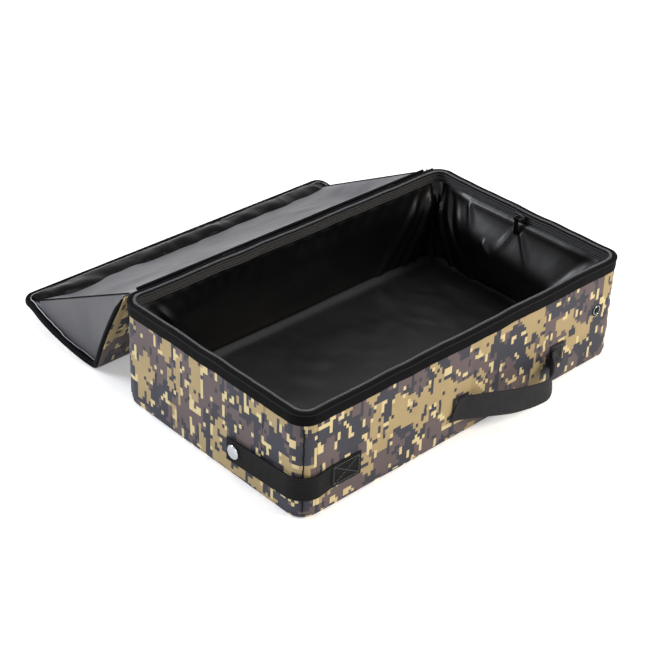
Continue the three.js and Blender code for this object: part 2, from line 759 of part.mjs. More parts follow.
// The handle: webbing that leaves the wall flat at the left, bows out and drops, and comes back at the right
function handle() {
  const face = -boxWidth / 2;
  const out = webbingThickness / 2 + gap * 2 + webbingThickness;
  const span = handleRightX - handleLeftX;
  const points = handleRunShares.map((share, i) => new THREE.Vector3(
    handleLeftX + share * span,
    face - out - handleReachShares[i] * handleReach,
    handleHeight - handleDropShares[i] * handleDroop));
  const curve = new THREE.CatmullRomCurve3(points, false, 'centripetal');
  addPiece('front_handle', webbing(uprightStations(curve, handleSteps)), blackWebbing);
  const patchMiddle = face - gap - webbingThickness / 2;
  const patches = [
    ['left', handleLeftX + handlePatchLength / 2, handleHeight],
    ['right', handleRightX + handlePatchLength / 2, handleHeight],
  ];
  for (const [name, x, z] of patches) {
    const ends = [-1, 1].map((side) => ({
      middle: new THREE.Vector3(x + side * handlePatchLength / 2, patchMiddle, z),
      across: new THREE.Vector3(0, 0, 1),
      through: new THREE.Vector3(0, -1, 0),
    }));
    addPiece(`front_handle_patch_${name}`, webbing(ends), blackWebbing);
  }
}

// The corner strap: stitched to the front wall, round the front left corner and along the left wall
function cornerStrap() {
  const patchMiddle = -boxWidth / 2 - gap - webbingThickness / 2;
  const patchEnd = strapPatchStartX - strapPatchLength;
  const ends = [strapPatchStartX, patchEnd].map((x) => ({
    middle: new THREE.Vector3(x, patchMiddle, strapHeight),
    across: new THREE.Vector3(0, 0, 1),
    through: new THREE.Vector3(0, -1, 0),
  }));
  addPiece('corner_strap_patch', webbing(ends), blackWebbing);

  const cx = -boxLength / 2 + cornerRadius;
  const cy = -boxWidth / 2 + cornerRadius;
  const radius = cornerRadius + strapStandOff;
  const points = [
    new THREE.Vector3(patchEnd - gap, patchMiddle, strapHeight),
    new THREE.Vector3((patchEnd + cx) / 2, (patchMiddle + cy - radius) / 2, strapHeight),
  ];
  for (let s = 0; s <= arcSteps; s++) {
    const turn = -Math.PI / 2 - (s / arcSteps) * Math.PI / 2;
    points.push(new THREE.Vector3(cx + Math.cos(turn) * radius, cy + Math.sin(turn) * radius, strapHeight));
  }
  for (const share of strapRunShares) {
    points.push(new THREE.Vector3(cx - radius, cy + (strapEndY - cy) * share,
      strapHeight - strapEndDrop * share));
  }
  const stations = points.map((middle, i) => {
    const before = points[Math.max(i - 1, 0)];
    const after = points[Math.min(i + 1, points.length - 1)];
    const along = after.clone().sub(before).setZ(0).normalize();
    const up = new THREE.Vector3(0, 0, 1);
    return { middle, across: up, through: along.cross(up) };
  });
  addPiece('corner_strap', webbing(stations), blackWebbing);
  snap(cx - radius, strapHeight - strapEndDrop * (snapY - cy) / (strapEndY - cy));
}

function disc(profile) {
  return new THREE.LatheGeometry(profile.map(([r, h]) => new THREE.Vector2(r, h)), turnSteps);
}

function snap(strapX, z) {
  const face = strapX - webbingThickness / 2 - gap;
  const r = snapCapDiameter / 2;
  const cap = disc(capRadiusShares.map((share, i) => [r * share, snapCapThickness * capHeightShares[i]]));
  cap.rotateZ(Math.PI / 2);
  cap.translate(face, snapY, z);
  addPiece('snap_cap', cap, silverMetal);

  const back = strapX + webbingThickness / 2 + gap;
  const socket = disc([[0, 0], [snapSocketDiameter / 2, 0],
    [snapSocketDiameter / 2, snapSocketThickness], [0, snapSocketThickness]]);
  socket.rotateZ(-Math.PI / 2);
  socket.translate(back, snapY, z);
  addPiece('snap_socket', socket, silverMetal);

  const flange = snapStudDiameter / 2;
  const post = snapPostDiameter / 2;
  const stud = disc([[0, 0], [flange, 0], [flange, snapFlangeThickness * flangeEdgeShare],
    [flange * flangeTopShare, snapFlangeThickness], [post, snapFlangeThickness],
    [post * postTopShare, snapPostHeight * postShoulderShare], [post, snapPostHeight], [0, snapPostHeight]]);
  stud.rotateX(Math.PI);
  stud.translate(snapStudX, -boxWidth / 2 - gap, snapStudHeight);
  addPiece('snap_stud', stud, silverMetal);
}

addPiece('base_cover', baseCover(), camoCloth);
addPiece('base_board_right', baseBoard(1), board);
addPiece('base_board_left', baseBoard(-1), board);
walls();
gussets();
addPiece('liner', liner(), linerFilm);
addPiece('rim_binding', rimBinding(), blackCloth);
addPiece('rim_zip_tape', rimZipTape(), blackCloth);
addPiece('rim_zip_teeth', rimZipTeeth(), zipNylon);
addPiece('zip_slider', zipSlider(), blackMetal);
addPiece('zip_pull', zipPull(), blackCloth);
lid();
handle();
cornerStrap();

export default litterBox;
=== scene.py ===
"""A soft foldable litter box: camouflage Oxford cloth over stiff boards, a black bound rim with a
nylon coil zip, a loose waterproof lining and a two-panel lid thrown back behind the tray."""

import json
import math

import bmesh
import bpy
from mathutils import Matrix, Vector, noise


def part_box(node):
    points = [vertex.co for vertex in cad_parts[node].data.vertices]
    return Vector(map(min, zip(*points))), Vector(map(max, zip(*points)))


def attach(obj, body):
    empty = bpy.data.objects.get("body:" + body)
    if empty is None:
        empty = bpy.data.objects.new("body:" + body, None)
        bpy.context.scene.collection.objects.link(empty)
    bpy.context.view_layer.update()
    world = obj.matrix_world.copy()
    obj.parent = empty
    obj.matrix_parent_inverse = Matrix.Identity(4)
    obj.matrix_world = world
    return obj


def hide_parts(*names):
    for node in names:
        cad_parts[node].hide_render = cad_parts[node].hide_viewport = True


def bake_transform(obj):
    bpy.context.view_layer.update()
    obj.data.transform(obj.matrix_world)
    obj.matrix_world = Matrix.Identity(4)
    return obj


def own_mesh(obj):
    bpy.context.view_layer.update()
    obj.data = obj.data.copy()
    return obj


bl_info = {
    "name": "Foldable litter box",
    "version": (1, 0, 0),
    "blender": (4, 5, 0),
    "location": "View3D > Sidebar > Litter box",
    "description": "Dresses the folding tray and its lid in cloth, binding, webbing and lining",
    "category": "Object",
}

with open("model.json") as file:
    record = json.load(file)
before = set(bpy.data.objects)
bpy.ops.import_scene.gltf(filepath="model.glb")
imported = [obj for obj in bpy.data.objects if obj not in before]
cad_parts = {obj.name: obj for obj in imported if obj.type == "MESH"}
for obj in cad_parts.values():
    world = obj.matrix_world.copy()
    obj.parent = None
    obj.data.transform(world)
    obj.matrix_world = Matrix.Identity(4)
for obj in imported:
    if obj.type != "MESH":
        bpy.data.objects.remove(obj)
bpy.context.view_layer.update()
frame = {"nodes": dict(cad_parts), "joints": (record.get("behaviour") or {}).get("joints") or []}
joints = {joint["name"]: joint for joint in frame["joints"]}

# Places read from the frame, in metres
HALF_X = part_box("right_wall_lower")[1].x
HALF_Y = -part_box("front_wall_lower")[0].y
WALL_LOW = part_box("front_wall_lower")[0].z
WALL_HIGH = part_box("front_wall_upper")[1].z
CREASE = joints["front_crease"]["pos_m"][2]
RIM_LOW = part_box("rim_binding")[0].z
RIM_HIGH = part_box("rim_binding")[1].z
LONG_BOARD_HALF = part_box("front_wall_lower")[1].x
SIDE_BOARD_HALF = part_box("left_wall_lower")[1].y
# The short walls' boards are cut narrower at the crease, which leaves the corners room to fold
SIDE_BOARD_TAPER = 0.0035
SIDE_BOARD_HALF_AT_CREASE = SIDE_BOARD_HALF - SIDE_BOARD_TAPER
HINGE = Vector(joints["lid_hinge"]["pos_m"])
FOLD = Vector(joints["lid_fold"]["pos_m"])

# Sizes shared by several pieces, in metres
CORNER_RADIUS = 0.018
BOARD_CASE = 0.0036  # thickness of a wall's board in its cloth
CORNER_CLOTH = 0.0018
CORNER_TUCK = 0.003
GATHER_REACH = 0.13  # the lining's folds stay within this length of a corner's middle
FAR_BELLY = 0.060  # the far wall's belly keeps its depth over this length from the wall's middle
WEBBING_WIDTH = 0.025
WEBBING_THICKNESS = 0.0015
THREAD = 0.0007  # real thread is 0.4 mm, too fine to show
LINING_THICKNESS = 0.0006
LINING_INSET = 0.0046  # from the tray's outline to the lining below the zip's tape
LID_LINING_THICKNESS = 0.0007
RIM_COLUMNS = 520
RIM_WAVE = 0.0009
RIM_SEED = 1.5
STITCH_GAP = 1.35  # spacing of stitches, as a share of a stitch

# The lid. Lengths along it are measured from its hinge
HANG_ANGLE = math.radians(64)  # of the hanging panel, below level
LIE_ANGLE = math.radians(10)  # of the panel that lies behind the tray, above level
LID_MIDDLE = -0.002  # from the hinge's axis to the middle of the hanging panel's thickness
LID_HALF_LENGTH = HALF_X - 0.004
LID_CORNER_RADIUS = 0.014
OUTER_LENGTH = 0.13343
FOLD_ROUND = 0.010  # the cloth rounds the fold over this length on both sides of it
LAYER_JOIN = 0.078  # where the upper piece of each layer meets the lower one
LAYER_LAP = 0.001
SIDE_BOW = 0.0038  # how far the short edges belly out
BINDING_RIPPLE = 0.0011

# The lid's slack lining
SLACK_LENGTH = 0.21  # laid flat
SLACK_START = 0.004
SLACK_LOW = 0.0021  # height above the panels at which its edges are sewn down
SLACK_SPLIT = 0.184  # share of its length that stays with the hinge's strip
SLACK_LAP = 0.02  # share of its length by which the two parts lap
SLACK_END = 0.03  # share of its width that slopes down at each end
# radius of the black cord painted along each end's crease as its shadow
CREASE_SHADOW_RADIUS = 0.0009

# Camera, fitted to the photograph
CAMERA_PLACE = (-0.9826, -0.9446, 0.9196)
CAMERA_LOOK = (0.5853, 0.6100, -0.5341)
CAMERA_RIGHT = (0.7340, -0.6785, 0.0295)

SHARP_ANGLE = math.radians(50)
WAVE_PERIOD = 0.314  # a wave texture of scale 1 repeats over this length


def srgb(code):
    """Linear colour of an sRGB hex value."""
    parts = [int(code[i:i + 2], 16) / 255 for i in (1, 3, 5)]
    return [c / 12.92 if c <= 0.04045 else ((c + 0.055) / 1.055) ** 2.4 for c in parts]


def colour(name, description, code):
    """A colour setting, with its default as an sRGB hex value."""
    return bpy.props.FloatVectorProperty(name=name, description=description, subtype="COLOR",
                                         size=3, min=0.0, max=1.0, default=srgb(code))


def length(name, description, default):
    """A length setting, in metres."""
    return bpy.props.FloatProperty(name=name, description=description, default=default,
                                   unit="LENGTH", min=0.0, precision=4)


class ClothSettings(bpy.types.PropertyGroup):
    """The printed cloth of the walls, base and lid."""
    sand: colour("Sand", "Large pale patches of the print", "#a28f68")
    cream: colour("Cream", "Small bright pixels of the print", "#ccbb8c")
    brown: colour("Brown", "Ground of the print", "#594d4e")
    slate: colour("Slate", "Dark blue-grey patches of the print", "#2e2f39")
    pixel_width: length("Pixel width", "Width of one pixel of the print", 0.0034)
    pixel_height: length("Pixel height", "Height of one pixel of the print", 0.0043)
    patch: length("Patch", "Usual width of a patch of one colour", 0.038)
    puff: length("Puff", "How far the cloth stands off its boards", 0.0009)


class TrimSettings(bpy.types.PropertyGroup):
    """Binding, zip, webbing and metal trim."""
    binding: colour("Binding", "Woven binding tape round the rim and the lid", "#030304")
    zip_tape: colour("Zip tape", "Ribbed tape of the zip", "#080809")
    # painted highlight: the coil's grey stands for the light along the turns of black nylon
    coil: colour("Coil", "Nylon coil of the zip", "#3c3d41")
    webbing: colour("Webbing", "Corner strap webbing", "#0a0a0b")
    handle: colour("Handle", "Softer webbing of the carry handle", "#1b1b1d")
    thread: colour("Thread", "Sewing thread", "#4a4b4e")
    tooth_pitch: length("Tooth pitch", "Spacing of the zip's coil", 0.0016)
    stitch: length("Stitch", "Length of one stitch", 0.0030)


class LiningSettings(bpy.types.PropertyGroup):
    """The loose waterproof lining of the tray and the lid."""
    tray: colour("Tray lining", "Coated lining of the tray", "#060607")
    # painted sheen: the lid's slack lining is the same black film as the tray's, coloured grey to stand for
    # the light it reflects
    lid: colour("Lid lining", "Coated lining of the lid", "#555558")
    fold_depth: length("Fold depth", "How far a corner fold stands in from the wall", 0.0105)
    slack: length("Slack", "How far the lining sags away from the wall", 0.016)


class StageSettings(bpy.types.PropertyGroup):
    """Floor, light and camera."""
    floor: colour("Floor", "Plain pale floor", "#f4f4f4")
    lens: bpy.props.FloatProperty(name="Lens", description="Focal length of the camera in millimetres",
                                  default=89.3, min=20.0)


def cloth_settings():
    """The printed cloth's settings in this scene."""
    return bpy.context.scene.litter_box_cloth


def trim_settings():
    """The trim's settings in this scene."""
    return bpy.context.scene.litter_box_trim


def lining_settings():
    """The linings' settings in this scene."""
    return bpy.context.scene.litter_box_lining


# ---- materials

def node(tree, kind, inputs=None, links=None, **values):
    """Adds a shader node, sets its properties and inputs, and links its inputs."""
    made = tree.nodes.new(kind)
    for key, value in values.items():
        setattr(made, key, value)
    for key, value in (inputs or {}).items():
        made.inputs[key].default_value = value
    for key, source in (links or {}).items():
        tree.links.new(source, made.inputs[key])
    return made


def new_material(name, base, roughness, **sockets):
    """A material with a principled shader: returns the material, its node tree and the shader.
    Its other sockets are given by name, with _ for a space."""
    material = bpy.data.materials.new(name)
    material.use_nodes = True
    tree = material.node_tree
    shader = tree.nodes["Principled BSDF"]
    shader.inputs["Base Color"].default_value = (*base, 1)
    shader.inputs["Roughness"].default_value = roughness
    for key, value in sockets.items():
        shader.inputs[key.replace("_", " ")].default_value = value
    material.diffuse_color = (*base, 1)
    return material, tree, shader


def link_shader(tree, shader, **sources):
    """Links outputs to the shader's sockets, which are given by name, with _ for a space."""
    for key, source in sources.items():
        tree.links.new(source, shader.inputs[key.replace("_", " ")])


def cloth_vector(tree, scale=(1, 1, 1)):
    """The cloth's own UV map in metres, scaled."""
    uv = node(tree, "ShaderNodeUVMap", uv_map="cloth")
    return node(tree, "ShaderNodeMapping", {"Scale": scale}, {"Vector": uv.outputs["UV"]}).outputs["Vector"]


def camouflage_cloth():
    """Printed polyester Oxford cloth with a soft PVC backing: a flat print with a faint satin sheen.
    The print is drawn in pixels that are taller than wide."""
    look = cloth_settings()
    material, tree, shader = new_material("printed_oxford_cloth", look.brown, 0.62,
                                          Specular_IOR_Level=0.35)
    vector = cloth_vector(tree)
    pixels = node(tree, "ShaderNodeVectorMath", {1: (look.pixel_width, look.pixel_height, 1)},
                  {0: vector}, operation="SNAP").outputs[0]

    def patches(shift, width, stretch, detail):
        """Noise in the print's pixels. shift sets it apart from the others, width is a patch's."""
        place = node(tree, "ShaderNodeMapping", {"Location": shift, "Scale": (1, stretch, 1)},
                     {"Vector": pixels}).outputs["Vector"]
        return node(tree, "ShaderNodeTexNoise",
                    {"Scale": 1 / width, "Detail": detail, "Roughness": 0.55, "Distortion": 0.35},
                    {"Vector": place}, noise_dimensions="2D").outputs["Fac"]

    sand = patches((0.31, 0.17, 0), look.patch, 0.66, 2.4)
    slate = patches((0.93, 0.55, 0), look.patch * 0.9, 0.66, 2.6)
    flecks = patches((0.5, 0.9, 0), look.pixel_width * 2.3, 0.6, 0)
    bits = patches((0.12, 0.4, 0), look.pixel_width * 2.2, 0.6, 0)
    # pale flecks crowd round the sand patches and thin out away from them
    near_sand = node(tree, "ShaderNodeMapRange",
                     {"From Min": 0.40, "From Max": 0.52, "To Min": -0.02, "To Max": 0.07},
                     {"Value": sand}).outputs[0]
    crowded = node(tree, "ShaderNodeMath", links={0: flecks, 1: near_sand}, operation="ADD").outputs[0]
    # each ink covers those before it, where its own noise is over a level
    printed = None
    for pattern, level, ink in ((slate, 0.515, look.slate), (crowded, 0.715, look.cream),
                                (sand, 0.565, look.sand), (bits, 0.73, look.slate)):
        inked = node(tree, "ShaderNodeMath", {1: level}, {0: pattern}, operation="GREATER_THAN")
        links = {0: inked.outputs[0]}
        if printed:
            links[6] = printed
        printed = node(tree, "ShaderNodeMix", {6: (*look.brown, 1), 7: (*ink, 1)}, links,
                       data_type="RGBA").outputs[2]
    # dye takes unevenly over a few centimetres
    uneven = node(tree, "ShaderNodeTexNoise", {"Scale": 38, "Detail": 2}, {"Vector": vector})
    shade = node(tree, "ShaderNodeMapRange", {"To Min": 0.84, "To Max": 1.12},
                 {"Value": uneven.outputs["Fac"]}).outputs[0]
    shaded = node(tree, "ShaderNodeHueSaturation", links={"Value": shade, "Color": printed})
    # 0.5 mm threads are finer than a pixel of the picture, so the weave is drawn at 1.3 mm
    warp, weft = (node(tree, "ShaderNodeTexWave", {"Scale": WAVE_PERIOD / 0.0013}, {"Vector": vector},
                       wave_type="BANDS", bands_direction=way).outputs["Fac"] for way in "XY")
    weave = node(tree, "ShaderNodeMath", links={0: warp, 1: weft}, operation="ADD").outputs[0]
    fine = node(tree, "ShaderNodeBump", {"Strength": 0.12, "Distance": 0.0004}, {"Height": weave})
    waves = node(tree, "ShaderNodeTexNoise", {"Scale": 26, "Detail": 3}, {"Vector": vector})
    soft = node(tree, "ShaderNodeBump", {"Strength": 0.25, "Distance": 0.004},
                {"Height": waves.outputs["Fac"], "Normal": fine.outputs["Normal"]})
    link_shader(tree, shader, Base_Color=shaded.outputs["Color"], Normal=soft.outputs["Normal"])
    return material


def ribbed_tape(name, base, rib, roughness, strength, across="Y", fleck=0.35, shine=0.3):
    """Woven narrow tape: ribs run along it, and the filling threads show as fine bars across. Its ribs
    are 1 to 1.5 mm apart, too fine to show, so they are drawn about twice as coarse."""
    material, tree, shader = new_material(name, base, roughness, Specular_IOR_Level=shine)
    vector = cloth_vector(tree)
    other = "X" if across == "Y" else "Y"
    ribs, bars = (node(tree, "ShaderNodeTexWave", {"Scale": WAVE_PERIOD / wide}, {"Vector": vector},
                       wave_type="BANDS", bands_direction=way).outputs["Fac"]
                  for wide, way in ((rib, across), (rib * 0.6, other)))
    wear = node(tree, "ShaderNodeTexNoise", {"Scale": 160, "Detail": 3}, {"Vector": vector}).outputs["Fac"]
    level = node(tree, "ShaderNodeMapRange", {"To Min": 1 - fleck, "To Max": 1 + fleck},
                 {"Value": wear}).outputs[0]
    # painted highlight: the ribs are coloured lighter than the tape, standing for light on their crests; on
    # the fibreboard the same lighter lines stand for its pressed grain
    pale = [min(1, c * 1.8 + 0.0015) for c in base]
    lit = node(tree, "ShaderNodeMix", {6: (*base, 1), 7: (*pale, 1)}, {0: ribs},
               data_type="RGBA").outputs[2]
    shaded = node(tree, "ShaderNodeHueSaturation", links={"Value": level, "Color": lit})
    weave = node(tree, "ShaderNodeMath", {1: 0.35}, {0: bars}, operation="MULTIPLY").outputs[0]
    height = node(tree, "ShaderNodeMath", links={0: ribs, 1: weave}, operation="ADD").outputs[0]
    relief = node(tree, "ShaderNodeBump", {"Strength": strength, "Distance": 0.0006}, {"Height": height})
    link_shader(tree, shader, Base_Color=shaded.outputs["Color"], Normal=relief.outputs["Normal"])
    return material


def coated_lining(name, base, roughness, crumple, coat, shine):
    """PEVA-coated polyester lining: a smooth water-tight film with soft creases and a wet gloss."""
    material, tree, shader = new_material(name, base, roughness, Specular_IOR_Level=shine,
                                          Coat_Weight=coat, Coat_Roughness=0.14)
    vector = cloth_vector(tree)
    long = cloth_vector(tree, (1.0, 0.45, 1))
    creases = node(tree, "ShaderNodeTexNoise",
                   {"Scale": 15, "Detail": 3, "Roughness": 0.55, "Distortion": 0.9},
                   {"Vector": long}).outputs["Fac"]
    ridges = node(tree, "ShaderNodeTexVoronoi", {"Scale": 30, "Smoothness": 0.6}, {"Vector": long},
                  feature="SMOOTH_F1").outputs["Distance"]
    rub = node(tree, "ShaderNodeTexNoise", {"Scale": 14, "Detail": 3}, {"Vector": vector}).outputs["Fac"]
    dull = node(tree, "ShaderNodeMapRange", {"To Min": roughness * 0.75, "To Max": roughness * 1.4},
                {"Value": rub}).outputs[0]
    broad = node(tree, "ShaderNodeBump", {"Strength": crumple, "Distance": 0.010}, {"Height": creases})
    sharp = node(tree, "ShaderNodeBump", {"Strength": crumple * 0.35, "Distance": 0.006},
                 {"Height": ridges, "Normal": broad.outputs["Normal"]})
    link_shader(tree, shader, Roughness=dull, Normal=sharp.outputs["Normal"])
    return material


def grained(name, base, roughness, grain, strength, **sockets):
    """A material with one even, very fine relief: grain is its noise's scale."""
    material, tree, shader = new_material(name, base, roughness, **sockets)
    place = node(tree, "ShaderNodeTexCoord").outputs["Object"]
    speck = node(tree, "ShaderNodeTexNoise", {"Scale": grain, "Detail": 2}, {"Vector": place})
    relief = node(tree, "ShaderNodeBump", {"Strength": strength, "Distance": 0.0002},
                  {"Height": speck.outputs["Fac"]})
    link_shader(tree, shader, Normal=relief.outputs["Normal"])
    return material


def nylon(name, base):
    """Extruded nylon: hard, even, slightly glossy."""
    return grained(name, base, 0.35, 900, 0.1)


def polyester_thread(name, base):
    """Spun polyester sewing thread: dull and a little hairy, with a twist too fine to see."""
    return grained(name, base, 0.7, 1500, 0.3, Specular_IOR_Level=0.1, Sheen_Weight=0.05)


def painted_zinc(name, base):
    """Black lacquer over die-cast zinc: satin with rounded, slightly worn edges."""
    return grained(name, base, 0.38, 1200, 0.15, Coat_Weight=0.3)


def plated_metal(name, base, roughness):
    """Nickel-plated pressed brass: bright, with fine handling scratches."""
    material, tree, shader = new_material(name, base, roughness, Metallic=1.0)
    place = node(tree, "ShaderNodeTexCoord").outputs["Object"]
    stretched = node(tree, "ShaderNodeMapping", {"Scale": (1, 1, 9)}, {"Vector": place}).outputs["Vector"]
    scratch = node(tree, "ShaderNodeTexNoise", {"Scale": 700, "Detail": 3},
                   {"Vector": stretched}).outputs["Fac"]
    dull = node(tree, "ShaderNodeMapRange", {"To Min": roughness * 0.8, "To Max": roughness * 1.5},
                {"Value": scratch}).outputs[0]
    relief = node(tree, "ShaderNodeBump", {"Strength": 0.08, "Distance": 0.0002}, {"Height": scratch})
    link_shader(tree, shader, Roughness=dull, Normal=relief.outputs["Normal"])
    return material


materials = {}


def finishes():
    """Makes every material once."""
    if materials:
        return materials
    trim = trim_settings()
    lining = lining_settings()
    materials.update({
        "camo": camouflage_cloth(),
        "binding": ribbed_tape("woven_binding_tape", trim.binding, 0.0022, 0.6, 0.2, shine=0.04),
        "zip_tape": ribbed_tape("knitted_zip_tape", trim.zip_tape, 0.0026, 0.46, 0.3, "X", shine=0.2),
        "webbing": ribbed_tape("woven_webbing", trim.webbing, 0.0026, 0.62, 0.7, fleck=0.5, shine=0.1),
        "handle": ribbed_tape("brushed_webbing", trim.handle, 0.0022, 0.75, 0.22, fleck=0.3, shine=0.2),
        # the base boards are fibreboard, whose pressed grain is as faint as a worn tape's
        "board": ribbed_tape("pressed_fibreboard", srgb("#2b2b2d"), 0.004, 0.8, 0.1),
        "thread": polyester_thread("sewing_thread", trim.thread),
        "edge_thread": polyester_thread("black_edge_thread", srgb("#0c0c0e")),
        "edge_band": coated_lining("glossy_edge_band", srgb("#020203"), 0.2, 0.35, 0.0, 0.07),
        "lining": coated_lining("coated_tray_lining", lining.tray, 0.33, 0.13, 0.09, 0.15),
        "lining_floor": coated_lining("coated_floor_lining", lining.tray, 0.42, 0.07, 0.04, 0.3),
        # painted sheen: grey copy of the black lining film, for the light the lid's lining reflects
        "lid_lining": coated_lining("coated_lid_lining_painted_sheen", lining.lid, 0.42, 0.16, 0.02, 0.2),
        # painted highlight: the rim's coil is grey for the light along its turns
        "coil": nylon("nylon_zip_coil_painted_highlight", trim.coil),
        # painted highlight: the lid's coil is a lighter grey than the rim's, standing for glints on its
        # black nylon
        "lid_coil": nylon("nylon_lid_coil_painted_highlight", srgb("#6c6d71")),
        "nickel": plated_metal("nickel_plated_snap", srgb("#b2b5b9"), 0.22),
        "dark_nickel": plated_metal("dark_nickel_stud", srgb("#1b1c1f"), 0.42),
        "lacquer": painted_zinc("lacquered_zinc_slider", srgb("#17181a")),
    })
    return materials


# ---- modelling helpers

def bent_sheet(across, along, place, flat):
    """A grid of cloth bent into place. s and t run from 0 to 1: place(s, t) gives a point and
    flat(s, t) its place on the cloth before it was cut and sewn, in metres."""
    sheet = bmesh.new()
    bmesh.ops.create_grid(sheet, x_segments=across, y_segments=along, size=0.5)
    uv = sheet.loops.layers.uv.new("cloth")
    for face in sheet.faces:
        for loop in face.loops:
            loop[uv].uv = flat(loop.vert.co.x + 0.5, loop.vert.co.y + 0.5)
    for vert in sheet.verts:
        vert.co = place(vert.co.x + 0.5, vert.co.y + 0.5)
    bmesh.ops.remove_doubles(sheet, verts=sheet.verts, dist=1e-6)
    return sheet


def finish_piece(name, shape, material, thickness=0.0, offset=-1.0, inside=None):
    """Turns a bmesh into an object, thickened if it is a sheet, with smooth faces that point outwards.
    inside is the material of a sheet's back."""
    mesh = bpy.data.meshes.new(name)
    shape.to_mesh(mesh)
    shape.free()
    for finish in filter(None, (material, inside)):
        mesh.materials.append(finishes()[finish])
    piece = bpy.data.objects.new(name, mesh)
    bpy.context.collection.objects.link(piece)
    if thickness:
        wall = piece.modifiers.new("thickness", "SOLIDIFY")
        wall.thickness = thickness
        wall.offset = offset
        wall.use_even_offset = False
        wall.material_offset = 1 if inside else 0
        bpy.context.view_layer.update()
        made = bpy.data.meshes.new_from_object(piece.evaluated_get(bpy.context.evaluated_depsgraph_get()))
        piece.modifiers.clear()
        piece.data = made
        made.name = name
        bpy.data.meshes.remove(mesh)
    final = bmesh.new()
    final.from_mesh(piece.data)
    if all(len(edge.link_faces) == 2 for edge in final.edges):
        bmesh.ops.recalc_face_normals(final, faces=final.faces)
    final.to_mesh(piece.data)
    final.free()
    for polygon in piece.data.polygons:
        polygon.use_smooth = True
    piece.data.set_sharp_from_angle(angle=SHARP_ANGLE)
    return piece


def smooth_step(x):
    """0 below 0, 1 above 1, and an even rise between them."""
    x = min(max(x, 0.0), 1.0)
    return x * x * (3 - 2 * x)


def hill(x, middle, width):
    """A smooth bump of height 1 at middle."""
    return math.exp(-((x - middle) / width) ** 2)


def line_length(points):
    """Length of a line of points."""
    return sum((b - a).length for a, b in zip(points, points[1:]))


def along_points(points, share):
    """A point at a share of the way along a polyline, by length."""
    legs = [(b - a).length for a, b in zip(points, points[1:])]
    left = share * sum(legs)
    for a, b, leg in zip(points, points[1:], legs):
        if left <= leg:
            return a.lerp(b, left / leg if leg else 0)
        left -= leg
    return points[-1].copy()


def direction(points, share, reach):
    """The way a line of points runs at a share of its length, over that reach to both sides."""
    after = along_points(points, min(share + reach, 1))
    before = along_points(points, max(share - reach, 0))
    return (after - before).normalized()


def curve_through(points, steps):
    """A smooth curve through the points, as a list of points."""
    ends = [points[0] * 2 - points[1], *points, points[-1] * 2 - points[-2]]
    line = []
    for i in range(1, len(ends) - 2):
        a, b, c, d = ends[i - 1:i + 3]
        for k in range(steps):
            t = k / steps
            line.append(0.5 * ((2 * b) + (c - a) * t + (2 * a - 5 * b + 4 * c - d) * t * t
                               + (3 * b - a - 3 * c + d) * t ** 3))
    line.append(points[-1].copy())
    return line


# ---- the tray's outline

STRAIGHT_X = HALF_X - CORNER_RADIUS
STRAIGHT_Y = HALF_Y - CORNER_RADIUS
QUARTER = CORNER_RADIUS * math.pi / 2
PERIMETER = 4 * (STRAIGHT_X + STRAIGHT_Y + QUARTER)
# Runs are lengths round the outline, anticlockwise seen from above, from the middle of the back wall
LEFT_MIDDLE = STRAIGHT_X + QUARTER + STRAIGHT_Y
FRONT_MIDDLE = LEFT_MIDDLE + STRAIGHT_Y + QUARTER + STRAIGHT_X
RIGHT_MIDDLE = FRONT_MIDDLE + STRAIGHT_X + QUARTER + STRAIGHT_Y
CORNER_RUNS = {
    "back_left": STRAIGHT_X + QUARTER / 2,
    "front_left": LEFT_MIDDLE + STRAIGHT_Y + QUARTER / 2,
    "front_right": FRONT_MIDDLE + STRAIGHT_X + QUARTER / 2,
    "back_right": RIGHT_MIDDLE + STRAIGHT_Y + QUARTER / 2,
}


def outline(run):
    """Point on the tray's outline at a run, and the direction out of the tray there."""
    left = run % PERIMETER
    legs = [STRAIGHT_X, QUARTER, 2 * STRAIGHT_Y, QUARTER, 2 * STRAIGHT_X, QUARTER, 2 * STRAIGHT_Y,
            QUARTER, STRAIGHT_X]
    point = Vector((0, HALF_Y, 0))
    heading = math.pi
    for i, leg in enumerate(legs):
        way = Vector((math.cos(heading), math.sin(heading), 0))
        out = Vector((way.y, -way.x, 0))
        if i % 2 == 0:
            if left <= leg or i == len(legs) - 1:
                return point + way * left, out
            point = point + way * leg
        else:
            centre = point - out * CORNER_RADIUS
            turn = min(left / CORNER_RADIUS, math.pi / 2)
            facing = Matrix.Rotation(turn, 3, "Z") @ out
            if left <= leg:
                return centre + facing * CORNER_RADIUS, facing
            point = centre + facing * CORNER_RADIUS
            heading += math.pi / 2
        left -= leg
    return point, out


def tray_point(run, offset, z):
    """A point at a run and a height, stood off the outline by offset."""
    at, out = outline(run)
    return Vector((at.x + out.x * offset, at.y + out.y * offset, z))


def facing_out(run):
    """The turn that points x out of the tray at a run."""
    out = outline(run)[1]
    return Matrix.Rotation(math.atan2(out.y, out.x), 4, "Z")


def add_block(shape, at, turn, size):
    """Adds one small box, such as a stitch or a tooth of the zip."""
    size = Matrix.Diagonal((*size, 1))
    bmesh.ops.create_cube(shape, size=1, matrix=Matrix.Translation(at) @ turn @ size)


def from_corner(run, corner):
    """Signed length from a corner's middle, the short way round."""
    return (run - CORNER_RUNS[corner] + PERIMETER / 2) % PERIMETER - PERIMETER / 2


# ---- tray walls, corners and base

def cloth_offset(run, z, seed):
    """The cloth stands off its boards by a changing hair's breadth, with two grooves beside the middle
    fold of each long wall and one along the crease."""
    puff = cloth_settings().puff
    wave = noise.noise(Vector((run * 14, z * 17, seed)))
    wave += 0.5 * noise.noise(Vector((run * 42, z * 30, seed)))
    groove = sum(0.0011 * hill(run, middle + side * 0.0022, 0.0012)
                 for middle in (0.0, FRONT_MIDDLE, PERIMETER) for side in (-1, 1))
    crease = 0.0007 * hill(z, CREASE, 0.0016)
    return 0.0002 + puff * (0.35 + wave) - groove - crease


